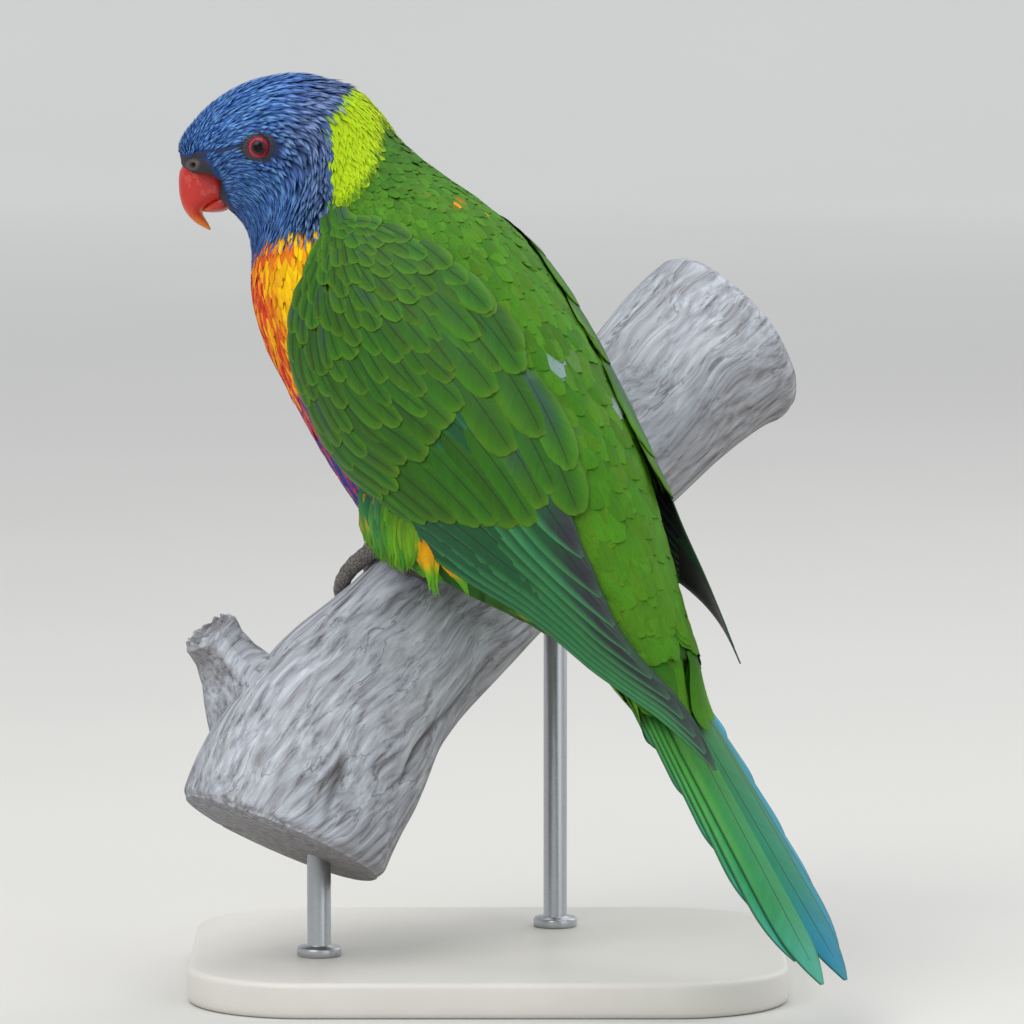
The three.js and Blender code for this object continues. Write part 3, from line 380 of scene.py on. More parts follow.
def skin_colour(s, f):
    # painted shade: the skin takes the plumage colour at half brightness, for the shade in the gaps between feathers
    c = marking(s, f, 0.3, 0.3) * 0.5
    eye = from_eye(s, f)
    return mix(c, srgb("34323d"), np.maximum(np.maximum(lores(s, f), 1 - smooth(3.9, 4.8, eye)), smooth(-0.3, 0.1, bare_face(s, f))))

def tube_rings(points, radii, sides, steps):
    pts = np.array(points, float); n = len(pts) - 1
    c = course(pts, np.arange(n + 1), np.linspace(0, n, steps)); r = np.interp(np.linspace(0, 1, steps), np.linspace(0, 1, len(radii)), radii)
    T = np.gradient(c, axis=0); T /= np.linalg.norm(T, axis=1, keepdims=True) + 1e-12
    a0 = np.cross(T[0], [0.1, 0.9, 0.3]); a0 /= np.linalg.norm(a0); A = [a0]
    for k in range(1, steps):
        a = A[-1] - T[k] * (A[-1] @ T[k]); A.append(a / np.linalg.norm(a))
    A = np.array(A); B = np.cross(T, A); ang = np.linspace(0, 2 * pi, sides, endpoint=False)
    return c, T, A, B, r, ang
def tube(points, radii, sides, steps, shape=None):
    c, T, A, B, r, ang = tube_rings(points, radii, sides, steps)
    R = r[:, None] * np.ones((1, sides))
    if shape is not None: R = R * shape(np.linspace(0, 1, steps)[:, None], ang[None, :])
    return c[:, None] + A[:, None] * (np.cos(ang)[None, :, None] * R[..., None]) + B[:, None] * (np.sin(ang)[None, :, None] * R[..., None])
def closed_lofts(name, lofts, mat, colours=None, uvs=None):
    """one object from closed lofts, each (rows, sides, 3)"""
    V, Q, T, C, U, n0 = [], [], [], [], [], 0
    for i, L in enumerate(lofts):
        k, c = L.shape[:2]
        V.append(L.reshape(-1, 3)); Q.append(grid_quads(1, k, c, closed=True) + n0)
        a, b = L[0].mean(0), L[-1].mean(0); V.append(np.stack([a, b])); m = n0 + k * c
        r = np.arange(c)
        T.append(np.stack([n0 + (r + 1) % c, n0 + r, np.full(c, m)], 1)); T.append(np.stack([m - c + r, m - c + (r + 1) % c, np.full(c, m + 1)], 1))
        if colours is not None:
            cc = np.broadcast_to(colours[i], (k, c, 3)); C.append(cc.reshape(-1, 3)); C.append(np.stack([cc[0].mean(0), cc[-1].mean(0)]))
        if uvs is not None: U.append(uvs[i].reshape(-1, 2)); U.append(np.stack([uvs[i][0].mean(0), uvs[i][-1].mean(0)]))
        n0 = m + 2
    ob = make_mesh(name, np.concatenate(V), np.concatenate(Q), mat, tris=np.concatenate(T))
    if colours is not None: put_attr(ob, "tint", "FLOAT_COLOR", np.concatenate(C))
    if uvs is not None: put_uv(ob, np.concatenate(U))
    return ob

# perch
PERCH = [(-57.5,-82,-9,27.2),(-50.5,-65.5,-4,27),(-41,-50.5,3,25),(-30.5,-38.8,11.5,22.8),(-18,-25.8,21,22.2),(7,-.5,42,22),(32,24.5,62.5,22.3),(47,38.5,74.5,24),(53.5,44,79.5,25.4)]
def perch_frame(t):
    t = np.atleast_1d(np.asarray(t, float)); n = len(PERCH) - 1
    g = lambda x: course(PERCH, np.arange(n + 1), np.clip(x, 0, n))
    r, a, b = g(t), g(t - 0.05), g(t + 0.05)
    P = lambda rows: np.array([place(*q[:3]) for q in rows])
    mid = P(r); al = P(b) - P(a); al /= np.linalg.norm(al, axis=1, keepdims=True)
    e = np.cross(al, [0, 1.0, 0]); e /= np.linalg.norm(e, axis=1, keepdims=True); e *= np.sign(e[:, 2:3])
    nr = np.cross(e, al); nr *= -np.sign(nr[:, 1:2])
    return mid, al, e, nr, r[:, 3]
def on_perch(t, a, lift=0.0):
    t, a = np.broadcast_arrays(np.asarray(t, float), np.asarray(a, float)); shp = t.shape; t, a = t.ravel(), a.ravel()
    mid, al, e, nr, r = perch_frame(t)
    r = r * (1 + .022 * np.sin(2*a + t*1.1) + .016 * np.sin(3*a - t*1.7 + 1) + .01 * np.sin(5*a + t*3.1)) + np.broadcast_to(lift, shp).ravel()
    return (mid + e * (np.cos(a) * r)[:, None] + nr * (np.sin(a) * r)[:, None]).reshape(shp + (3,))

# feet
FEET = {"left": (3.92, 20, [(-.34,-38),(.14,-50),(-.16,52),(.24,54)]), "right": (4.68, -26, [(-.2,-88),(.22,-90),(-.2,10),(.22,12)])}
HEM = {"left": (0.12, 70), "right": (-0.05, -12)}
TOE_LIFT = 1.9 + 0.3 + 0.25
belly = body.at(np.array(17.6))
def foot_lofts(name, side):
    at, base, toes = FEET[name]; base = radians(base); lofts, claws = [], []
    ankle = on_perch(at, base, 9.0); knee = belly[0:3] + belly[3:6] * side * 15 - belly[6:9] * 19
    sole = on_perch(at, base, TOE_LIFT)
    scute = lambda n, amp: (lambda q, a: 1 + amp * (1 - np.abs(((q * n) % 1.0) * 2 - 1)) ** 0.5 * (0.6 + 0.4 * np.cos(a * 6)))
    lofts.append(tube([sole, ankle, ankle + (knee - ankle) * 0.35], [2.2, 2.0, 2.1], 20, 40, scute(9, 0.08)))
    for shift, end in toes:
        last = radians(end); turn = last - base; q = np.linspace(0, 1, 9)
        path = on_perch(at + shift * np.sin(q * 1.45), base + turn * q, TOE_LIFT - 0.05)
        n = 15 if abs(turn) > 1 else 11
        # joints swell under each phalanx, fine scutes over the top
        f = lambda q, a, n=n: (1 + 0.07 * np.abs(np.sin(q * n * pi)) ** 0.6 + 0.07 * np.sin(q * 3.1 * pi * 2 + 0.4) ** 2) * (1 + 0.015 * np.cos(a * 9 + q * 40))
        lofts.append(tube(list(path), [2.05, 2.0, 2.0, 1.85, 1.8, 1.5], 22, 90, f))
        step = np.sign(turn) / 22.0; cq = np.linspace(0, 1, 4)
        cp = on_perch(at + shift * (0.993 + 0.03 * cq), last + step * (0.6 + cq * 7.3), TOE_LIFT + np.array([0.1, 1.0, 0.5, -1.1]))
        claws.append(tube(list(cp), [1.15, 1.08, .9, .66, .38, .12], 14, 26, lambda q, a: 1 + 0.05 * np.sin(a * 2)))
    return lofts, claws

# ---------------------------------------------------------------------------------------------------- coat on the body
def scatter(s_from, s_to, row_mm, gap_mm, keep=None, a_from=-pi, a_to=pi):
    """roots in rows round the body; row_mm and gap_mm are functions of the station"""
    out_s, out_f, s, k = [], [], s_from, 0
    while s < s_to:
        q = body.at(np.array(s)); girth = 2 * pi * sqrt((q[9] ** 2 + q[10] ** 2) / 2) * (a_to - a_from) / (2 * pi)
        n = max(3, int(girth / gap_mm(s)))
        f = a_from + (a_to - a_from) * (np.arange(n) + 0.5 * (k % 2) + rng.normal(0, 0.13, n)) / n
        # a row follows the tilt of the section, so its spacing is measured on the side
        ps = np.linalg.norm(body.grad(np.full(1, s), np.full(1, pi / 2))[0])
        ds = row_mm(s) / max(ps, 1e-6)
        out_s.append(np.full(n, s) + rng.normal(0, 0.12, n) * ds); out_f.append(f); s += ds; k += 1
    s, f = np.concatenate(out_s), np.concatenate(out_f); s = np.clip(s, s_from, 23)
    ok = np.ones(len(s), bool) if keep is None else keep(s, f)
    return s[ok], f[ok]
def skin_uv(s, f):
    return np.stack([0.02 + 0.96 * s / 23.0, 0.02 + 0.96 * (((f + pi) / (2 * pi)) % 1.0)], -1)
def station_length(s, f, mm):
    ps = np.linalg.norm(body.grad(s, f)[0], axis=1); return mm / (ps + 1e-9)
def body_coat(name, s, f, length, half, kind, mat, rows, cols, lo, hi, head_jit=0.06, colour=None, camber=0.2, heading=None, curve=20.0, ragged=0.06):
    N = len(s); head = rng.normal(0, head_jit, N) + (0 if heading is None else heading)
    P, Nn = walk(body, s, f, length * rng.uniform(0.88, 1.12, N), head, rows)
    q = qs(rows)
    lift = lo[:, None] + (hi - lo)[:, None] * q[None] ** 0.8 + rng.normal(0, 0.08, N)[:, None] * q[None]
    lift = lift - 0.25 * (hi - lo)[:, None] * smooth(0.7, 1, q)[None]
    rnd = rng.random(N); se = s + 0.6 * station_length(s, f, length)
    def col(Cc, Q, n):
        c = (colour or marking)(se[:, None, None] + 0 * Q[None], f[:, None, None] + 0 * Q[None], Q[None] + 0 * se[:, None, None], rnd[:, None, None] + 0 * Q[None])
        if name == "coat_back":
            sx, sy = front_px(P[:, rows // 2 + 1])
            for x, y, r, tint, w in ((431, 197, 5, YELLOW, .9), (461, 205, 5, ORANGE, .9), (490, 219, 6, YELLOW, .85), (566, 366, 12, srgb("a4b2cc"), .6), (576, 376, 8, srgb("8fa0bd"), .45), (619, 414, 8, srgb("a9aec4"), .6), (580, 440, 8, srgb("8b9a96"), .35)):
                k = (1 - smooth(0.5, 1.0, np.hypot(sx - x, sy - y) / r)) * (Nn[:, 0, 1] < 0.35)
                c = mix(c, tint, (k * w)[:, None, None] * smooth(0.35, 0.7, Q)[None])
        # painted shade: darker towards each feather's root, under the overlying feathers
        return c * (0.55 + 0.45 * smooth(0.1, 0.6, Q))[None, ..., None]
    ob = vanes(name, P, Nn, half * rng.uniform(0.9, 1.1, N), kind, col, skin_uv(s, f), mat, cols=cols, camber=camber, rows_lift=lift, curve_r=curve, ragged=ragged, skew=rng.normal(0, 0.06, N))
    return ob

MAT_HEAD = feather_material("head_feather", shaft=0.0, barb=0.30, edge=0.0, rough=0.5, sheen=0.0, bump=0.25, spec=0.22)
MAT_BODY = feather_material("body_feather", shaft=0.12, barb=0.34, edge=0.0, rough=0.6, sheen=0.0, bump=0.35, spec=0.15)
MAT_BREAST = feather_material("breast_feather", shaft=0.0, barb=0.34, edge=0.0, rough=0.6, sheen=0.0, bump=0.3, spec=0.15)
MAT_WING = feather_material("wing_feather", shaft=0.6, barb=0.30, edge=0.20, line=0.22, edge_col=(0.13, 0.27, 0.02), rough=0.5, sheen=0.0, bump=0.35, spec=0.2)
MAT_FLIGHT = feather_material("flight_feather", shaft=0.8, barb=0.20, edge=0.30, line=0.55, edge_col=(0.10, 0.36, 0.16), rough=0.45, sheen=0.0, bump=0.3, spec=0.25)
pieces = {}
def piece(ob, slot, *nodes):
    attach(ob, "root")
    if nodes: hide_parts(*nodes)
    pieces[ob.name] = ob
    return ob

# skin: one mesh for head, neck, trunk, rump and thighs
def make_skin():
    S, F = 420, 180
    s = np.concatenate([np.linspace(0, 9, 260, endpoint=False), np.linspace(9, 23, 160)])[:, None] * np.ones((1, F)); S = len(s)
    f = (np.linspace(0, 2 * pi, F, endpoint=False)[None, :]) * np.ones((S, 1))
    P = body.point(s, f); _, _, n = body.grad(s, f)
    eye = from_eye(s, f); lo = lores(s, f)
    d = coat_depth(s, f)
    d = d * smooth(3.4, 6.0, eye) * (1 - 0.75 * lo) * (1 - smooth(-1.5, 0, bare_face(s, f)))
    px, py = front_px(body.point(s, np.clip(np.abs((f + pi) % (2 * pi) - pi), 0.0, 3.0)))
    below = (py - np.interp(px, [176, 181, 195, 210, 220, 226, 232, 240], [172, 173, 172.5, 174, 180, 187, 198, 214])) / 4
    inface = (s < 7.5) & (px < 246); fa = np.abs((f + pi) % (2 * pi) - pi); d = d + np.where(inface, 3.6 * smooth(-0.1, 1.6, below) * (1 - smooth(229, 240, px)) * (1 - smooth(3.2, 5.5, s)) * (1 - smooth(1.75, 2.2, fa)), 0) - np.where(inface, 0.45 * np.exp(-((below + 1.7) / 1.3) ** 2) * smooth(-0.4, 0.6, bare_face(s, f)), 0)
    nos = np.hypot((px - 194) / 4, (py - 164.5) / 4 * 1.15); nos = np.where(s < 4, nos, 9)
    d = d - 0.30 * np.exp(-((nos - 1.15) / 0.45) ** 2) + 1.1 * (1 - smooth(0.25, 0.75, nos))
    lid = np.exp(-((eye - 3.05) / 0.42) ** 2) * 0.35 + np.exp(-((eye - 3.9) / 0.3) ** 2) * 0.12 * (1 + 0.5 * np.sin(f * 160))
    sock = 2.0 * (1 - smooth(2.35, 2.95, eye)); d = d - lid + sock
    d = d + 0.05 * np.sin(s * 60 + np.sin(f * 30)) * lo
    P = P - n * d[..., None]
    # pale rim round each nostril; the near-black in the nostril pit is painted shade
    skc = mix(skin_colour(s, f), srgb("8d8073"), 0.55 * np.exp(-((nos - 1.1) / 0.5) ** 2)); skc = mix(skc, srgb("0a090a"), 1 - smooth(0.35, 0.85, nos))
    lofts, cols, uvs = [P], [skc], [np.stack([0.02 + 0.96 * s / 23, 0.02 + 0.96 * ((f + pi) / (2 * pi) % 1.0)], -1)]
    for name, side in (("left", 1), ("right", -1)):
        at, base, _ = FEET[name]; hip = belly[0:3] + belly[3:6] * side * 17 - belly[6:9] * 12
        hem = on_perch(at + HEM[name][0], radians(HEM[name][1]), 5.5)
        L = tube([hip, hip + (hem - hip) * .45, hip + (hem - hip) * .8, hem], [11.5, 12, 8.5, 2.6], 30, 24)
        lofts.append(L); cols.append(np.broadcast_to(srgb("2c5a1c"), L.shape)); uvs.append(np.full(L.shape[:2] + (2,), 0.01) + np.stack(np.meshgrid(np.linspace(0, .008, 24), np.linspace(0, .008, 30), indexing="ij"), -1))
    m = M("bird_skin"); t = m.attr("tint")
    no = m.n("ShaderNodeTexNoise", ins={"Scale": 1800.0, "Detail": 3.0, "Vector": m.n("ShaderNodeTexCoord").outputs["Object"]})
    vo = m.n("ShaderNodeTexVoronoi", ins={"Scale": 1500.0, "Vector": m.n("ShaderNodeTexCoord").outputs["Object"]})
    col = m.mixc(m.math("MULTIPLY", no.outputs[0], 0.6), t.outputs["Color"], (0.02, 0.02, 0.03), "MULTIPLY")
    bp = m.n("ShaderNodeBump", ins={"Strength": 0.5, "Distance": 0.0002, "Height": m.math("ADD", no.outputs[0], vo.outputs["Distance"])})
    m.set(Base_Color=col, Roughness=0.6, Normal=bp.outputs[0], Specular_IOR_Level=0.35)
    ob = closed_lofts("skin", lofts, m.m, cols, uvs)
    return piece(ob, "blue_feathers", "head", "neck", "trunk", "rump", "thigh_left", "thigh_right")
make_skin()

# head
hb_of = lambda f: border(f, HEAD_BACK)
def keep_head(s, f):
    return (s + 0.45 * station_length(s, f, 5.0) < hb_of(f)) & (from_eye(s, f) > 3.75) & (lores(s, f) < 0.35) & (bare_face(s, f) < 0)
s, f = scatter(0.55, 12.4, lambda s: 0.62 + 0.95 * smooth(1, 9, s), lambda s: 0.50 + 0.45 * smooth(1, 9, s), keep_head)
L = 1.5 + 4.6 * smooth(0.5, 7.0, s); near = from_eye(s, f)
L = L * (0.45 + 0.55 * smooth(3.5, 9, near))
ahead_of_eye = smooth(9, 3.6, near)
def head_colour(s, f, q, r):
    base = marking(s, f, 0.35 + 0.5 * r, r)
    a = np.degrees(np.abs((f + pi) % (2 * pi) - pi))
    light = mix(BLUE_L, srgb("8b93b5"), 0.7 * smooth(6.2, 8.6, s) * (1 - smooth(60, 95, a)))
    # painted shade: each head feather is darkened to 0.6 towards its root, under the overlying feathers
    return mix(base * 0.6, base, q), light
def head_col_factory(se, f, rnd):
    def col(Cc, Q, n):
        S_, F_, R_ = se[:, None, None] + 0 * Q[None], f[:, None, None] + 0 * Q[None], rnd[:, None, None] + 0 * Q[None]
        base, light = head_colour(S_, F_, Q[None] + 0 * S_, R_)
        streak = (1 - smooth(0.05, 0.75, np.abs(Cc)))[None] * smooth(0.2, 0.55, Q)[None] * (0.15 + 0.95 * R_ ** 1.5)
        a = np.degrees(np.abs((F_ + pi) % (2 * pi) - pi))
        # painted light and shade: the upper head is lit up to 1.16 and the underside darkened to 0.84
        streak = streak * (1 - 0.45 * smooth(105, 140, a)); lit_top_shaded_under = (1.16 - 0.32 * smooth(55, 90, a))[..., None]
        c = mix(base, light, np.clip(streak, 0, 1) * 0.9) * lit_top_shaded_under
        # painted shade: dark navy at each feather's edges for the gaps between feathers, and darker towards the root
        # under the overlying feathers
        edge = smooth(0.55, 1.0, np.abs(Cc))[None] * 0.55
        return mix(c, srgb("0b1838"), edge * 1.25 + 0 * R_) * (0.45 + 0.55 * smooth(0, 0.4, Q))[None, ..., None]
    return col
N = len(s); rnd = rng.random(N); se = s + 0.6 * station_length(s, f, L)
head_dir = rng.normal(0, 0.13, N)
P, Nn = walk(body, s, f, L * rng.uniform(0.85, 1.2, N), head_dir, 6)
q6 = qs(6); cd = coat_depth(s, f) * smooth(3.4, 6.0, near)
shag = smooth(5.5, 8.5, s) * (1 - smooth(60, 110, np.degrees(np.abs(f)))) * rng.random(N) ** 2
lift = -cd[:, None] * 0.85 + (cd * 0.85 + 0.12 + 0.25 * rng.random(N) + 0.85 * shag)[:, None] * q6[None] ** 0.9
half = (0.30 + 0.48 * smooth(0.5, 8, s)) * rng.uniform(0.8, 1.2, N)
ob = vanes("coat_head", P, Nn, half, "hackle", head_col_factory(se, f, rnd), skin_uv(s, f), MAT_HEAD, cols=3, camber=0.35, rows_lift=lift, curve_r=14.0, ragged=0.05)
piece(ob, "blue_feathers")

# collar and nape
def keep_collar(s, f):
    e = s + 0.55 * station_length(s, f, 8.0); a = np.degrees(np.abs((f + pi) % (2 * pi) - pi))
    return (e > hb_of(f) - 0.25) & (e < border(f, COLLAR_BACK) + 0.15) & (a < 66)
s, f = scatter(7.2, 12.0, lambda s: 1.0, lambda s: 0.8, keep_collar)
N = len(s); body_coat("coat_collar", s, f, np.full(N, 7.0), np.full(N, 0.78), "hackle", MAT_BREAST, 6, 3, np.full(N, -1.0), np.full(N, 0.30) + 0.30 * rng.random(N), head_jit=0.12)
pieces["coat_collar"] = piece(bpy.data.objects["coat_collar"], "lime_feathers")

# under parts: breast, belly, flank, vent
def low_mask(s, f):
    a = np.degrees(np.abs((f + pi) % (2 * pi) - pi)); return a > 64
def keep_breast(s, f):
    e = s + 0.55 * station_length(s, f, 9.0); return (e > hb_of(f) - 0.15) & low_mask(s, f)
s_all, f_all = scatter(8.2, 22.2, lambda s: 2.0, lambda s: 1.45, keep_breast)
def breast_colour(s, f, q, r):
    return marking(s, f, q, r)
for name, here, slot in (("coat_breast", s_all < 14.6, "green_feathers"), ("coat_belly", (s_all >= 14.6) & (s_all < 18.4), "green_feathers"), ("coat_flank", s_all >= 18.4, "green_feathers")):
    s, f = s_all[here], f_all[here]; N = len(s)
    body_coat(name, s, f, 9.5 + 2.5 * smooth(11, 15, s), 1.15 + 0.5 * smooth(11, 16, s), "pointed", MAT_BREAST, 7, 5, np.full(N, -1.1) - 0.5 * smooth(15.5, 17.5, s), np.full(N, 0.2) - 0.75 * smooth(15.5, 17.5, s) + 0.3 * rng.random(N), head_jit=0.10, colour=breast_colour)
    piece(bpy.data.objects[name], slot)

# upper parts: mantle, back, rump
def keep_back(s, f):
    e = s + 0.55 * station_length(s, f, 9.0); a = np.degrees(np.abs((f + pi) % (2 * pi) - pi))
    return ((e > border(f, COLLAR_BACK) - 0.1) & (a < 66) | (s > 12.2) & (a < 72)) & (s < 21.7)
s, f = scatter(9.8, 22.6, lambda s: 1.8 + 2.4 * smooth(12, 17, s), lambda s: 1.5 + 2.4 * smooth(12, 17, s), keep_back)
N = len(s)
body_coat("coat_back", s, f, 7.5 + 8.0 * smooth(11.5, 17, s), 1.35 + 2.6 * smooth(12, 17, s), "round", MAT_BODY, 8, 5, np.full(N, -1.1), np.full(N, 0.05) + 0.22 * rng.random(N) + 0.35 * rng.random(N) * smooth(14, 17, s), head_jit=0.12)
piece(bpy.data.objects["coat_back"], "green_feathers")

# ---------------------------------------------------------------------------------------------------- wings
WL = [(12.4,69,60),(12.95,84,50),(13.65,102,42),(14.4,114,35),(15.2,120,30),(16,119,27),(17,110,26),(18.2,107,29),(19.8,112,38),(21.6,106,44),(22.3,94,44),(23.25,68,38),(24.2,54,40),(25,48,44)]
WR = WL[:7] + [(18.2,100,28),(19.4,92,32),(20.4,80,35),(21.4,64,37),(22.2,52,38),(22.9,43,39)]
LL = [(12.4,.3),(14,.9),(20,.9),(22,1.4),(25,1.6)]
LR = [(12.4,.3),(14,.9),(17.4,1.0),(18.8,2.2),(19.8,4.4),(21,6.0),(22,6.9),(22.9,7.6)]
class Wing:
    def __init__(self, rows, lifts, side):
        self.rows, self.side, self.end = rows, side, rows[-1][0]
        self.e = lambda t: course([r[1:] for r in rows], [r[0] for r in rows], np.clip(t, rows[0][0], rows[-1][0]))
        self.l = lambda t: course([[r[1]] for r in lifts], [r[0] for r in lifts], np.clip(t, lifts[0][0], lifts[-1][0]))[:, 0]
    def point(self, t, w):
        """t station, w 0 lower edge .. 1 upper edge; returns the wing's surface point and normal"""
        shp = t.shape; t, w = t.ravel(), w.ravel()
        e = self.e(t); ang = self.side * np.radians(e[:, 0] + (e[:, 1] - e[:, 0]) * w); lift = self.l(t)
        p = wingc.point(t, ang); _, _, n = wingc.grad(t, ang)
        return (p + n * lift[:, None]).reshape(shp + (3,)), n.reshape(shp + (3,))
wing = {"left": Wing(WL, LL, 1), "right": Wing(WR, LR, -1)}
W_GREEN, W_GREEN_L, W_GREEN_D, W_BASE = srgb("306613"), srgb("4c8419"), srgb("1c4514"), srgb("34544c")
def covert_colour(rnd, base, light, dark, blue):
    def col(Cc, Q, n):
        R = rnd[:, None, None] + 0 * Q[None]
        c = mix(base, light, 0.35 * R + 0.25 * smooth(0.3, 1, Q)[None])
        c = mix(c, dark, (0.45 * (1 - smooth(0.1, 0.55, Q)))[None] * (1 - 0.4 * R))
        b = (1 - smooth(0.35, 0.85, Q))[None] * (1 - smooth(0.1, 0.9, np.abs(Cc)))[None]
        c = mix(c, blue, np.clip(b * (0.12 + 0.65 * (R > 0.78)), 0, 1))
        rim = smooth(0.72, 1.0, np.maximum(np.abs(Cc), Q ** 2.5))[None] + 0 * R
        ac = np.abs(Cc)[None] + 0 * R; c = mix(c, dark, 0.45 * (1 - smooth(0.0, 0.55, ac)) * smooth(0.2, 0.6, Q)[None]); c = mix(c, light * 1.15, 0.55 * smooth(0.45, 0.98, ac) * smooth(0.2, 0.6, Q)[None])
        return mix(c, LIME_Y * 0.5, 0.10 * rim)
    return col
def wing_rows(name, key, rows, mat, slot, colour_of, cols=5, K=9, kind="round", thick=0.0, curve=26.0, nodes=()):
    """rows: list of dicts t, w, length, half, lift, turn; returns the courses of all the rows' feathers over the wing
    """
    W = wing[key]; side = W.side
    t = np.concatenate([r["t"] for r in rows]); w = np.concatenate([r["w"] for r in rows]); ln = np.concatenate([r["len"] for r in rows]); hf = np.concatenate([r["half"] for r in rows])
    lf = np.concatenate([r["lift"] for r in rows]); w1 = np.concatenate([r["w1"] for r in rows])
    N = len(t)
    p0, _ = W.point(t, w); p1, _ = W.point(np.minimum(t + 0.4, W.end), w); dt = ln * 0.4 / (np.linalg.norm(p1 - p0, axis=1) + 1e-9)
    q = qs(K)
    T = t[:, None] + dt[:, None] * q[None]; Wd = w[:, None] + (w1 - w)[:, None] * q[None]
    P, Nn = W.point(T, Wd)
    return t, w, P, Nn, lf, hf, N, q
def wing_piece(name, key, rows, mat, slot, colour_of, cols=5, K=9, kind="round", thick=0.0, curve=26.0, roll=0.28, nodes=(), ragged=0.04):
    t, w, P, Nn, lf, hf, N, q = wing_rows(name, key, rows, mat, slot, colour_of, cols, K)
    lift = lf[:, None] + 0.55 * q[None] ** 0.8 - 0.2 * smooth(0.8, 1, q)[None] + rng.normal(0, 0.05, N)[:, None] * q[None]
    # each feather's outer edge lies over the next one out
    T = np.gradient(P, axis=1); sd = np.cross(T, Nn); sd /= np.linalg.norm(sd, axis=-1, keepdims=True) + 1e-12
    down, _ = wing[key].point(t, np.clip(w - 0.03, 0, 1)); here, _ = wing[key].point(t, w)
    sign = np.sign(((down - here) * sd[:, 0]).sum(1) + 1e-9)
    Nr = Nn + sd * 0.0
    tilt_dir = sign[:, None, None] * sd
    Nn2 = Nn - tilt_dir * (roll / (hf[:, None, None] + 0.5)); Nn2 /= np.linalg.norm(Nn2, axis=-1, keepdims=True)
    rnd = rng.random(N)
    uv = np.stack([0.03 + 0.94 * (t - 12.4) / 12.6, 0.03 + 0.94 * w], -1)
    P = P + Nn * lift[..., None]
    ob = vanes(name, P, Nn2, hf, kind, colour_of(rnd), uv, mat, cols=cols, camber=0.12, curve_r=curve, ragged=ragged, thick=thick, skew=rng.normal(0, 0.04, N))
    return piece(ob, slot, *nodes)
def band(t0, t1, rows, gap_w, length, half, lift, w0=0.02, w1=0.98, drift=0.0, jit=0.10):
    """rows of coverts between two stations"""
    out = []
    for k in range(rows):
        tt = t0 + (t1 - t0) * k / max(rows - 1, 1)
        w = np.arange(w0 + (k % 2) * gap_w / 2, w1, gap_w); n = len(w)
        out.append(dict(t=np.full(n, tt) + rng.normal(0, jit, n), w=w + rng.normal(0, gap_w * 0.12, n), len=np.array([length(x, tt) for x in w]) * rng.uniform(0.9, 1.1, n),
                        half=np.array([half(x, tt) for x in w]) * rng.uniform(0.92, 1.08, n), lift=np.full(n, lift), w1=np.clip(w + drift + rng.normal(0, 0.012, n), 0, 1)))
    return out

def coverts(key):
    small = band(12.0, 14.2, 8, 0.105, lambda w, t: 8.5 + 1.2 * (t - 12.1), lambda w, t: 2.5 + 0.40 * (t - 12.1), 0.30, -0.03, 1.03)
    med = band(14.25, 15.35, 4, 0.105, lambda w, t: 13.0 + 1.5 * (t - 14.3) + 5 * w, lambda w, t: 3.2 + 2.0 * w, 0.10, -0.02, 1.0)
    def cc(rnd): return covert_colour(rnd, W_GREEN, W_GREEN_L, W_GREEN_D, W_BASE)
    wing_piece("coverts_small_" + key, key, small + med, MAT_WING, "wing_feathers", cc, cols=5, K=9, kind="round", curve=22.0)
    # greater coverts, long and narrow towards the outer edge
    def arr(*v): return [np.array(x, float) for x in v]
    w, t, ln, hf = arr([-.04, .02, .08, .145, .22, .30, .40, .50, .60], [15.3, 15.3, 15.35, 15.4, 15.4, 15.5, 15.5, 15.55, 15.5], [25, 26, 27, 26, 25, 24, 23, 23, 24], [2.6, 2.9, 3.2, 3.6, 4.2, 5.0, 5.6, 6.0, 6.2])
    great = [dict(t=t + rng.normal(0, .08, 9), w=w, len=ln, half=hf, lift=np.full(9, -0.10), w1=w + 0.01)]
    # the big rounded tertials and scapulars along the back
    w, t, ln, hf, lf = arr([.98, .86, .94, .76, .88, .68, .97, .82, .70, .92], [14.3, 14.6, 15.3, 15.4, 16.2, 16.2, 17.0, 17.1, 17.2, 17.7], [22, 22, 25, 25, 27, 27, 27, 29, 29, 28], [4.6, 5.2, 5.4, 6.2, 6.0, 6.6, 5.4, 6.4, 6.8, 5.6], [.22, .16, .10, .04, 0, -.06, -.08, -.14, -.2, -.24])
    tert = [dict(t=t, w=w, len=ln, half=hf, lift=lf, w1=w + 0.01)]
    wing_piece("coverts_great_" + key, key, great + tert, MAT_WING, "wing_feathers", cc, cols=9, K=16, kind="round", curve=24.0, thick=0.25)
    w, t, ln, hf = arr([-.05, .01, .08, .16, .25, .35, .45, .56], [16.2, 16.3, 16.4, 16.55, 16.75, 16.9, 17.1, 17.2], [25, 26, 27, 28, 29, 30, 31, 32], [2.8, 3.2, 3.8, 4.6, 5.4, 6.2, 6.8, 7.0])
    sec = [dict(t=t + rng.normal(0, .05, 8), w=w, len=ln, half=hf, lift=np.linspace(-0.5, -0.34, 8), w1=w + 0.03)]
    wing_piece("secondaries_" + key, key, sec, MAT_WING, "wing_feathers", lambda rnd: covert_colour(rnd, W_GREEN, W_GREEN_L, W_GREEN_D, W_GREEN * 0.9), cols=9, K=18, kind="round", curve=30.0, thick=0.3)
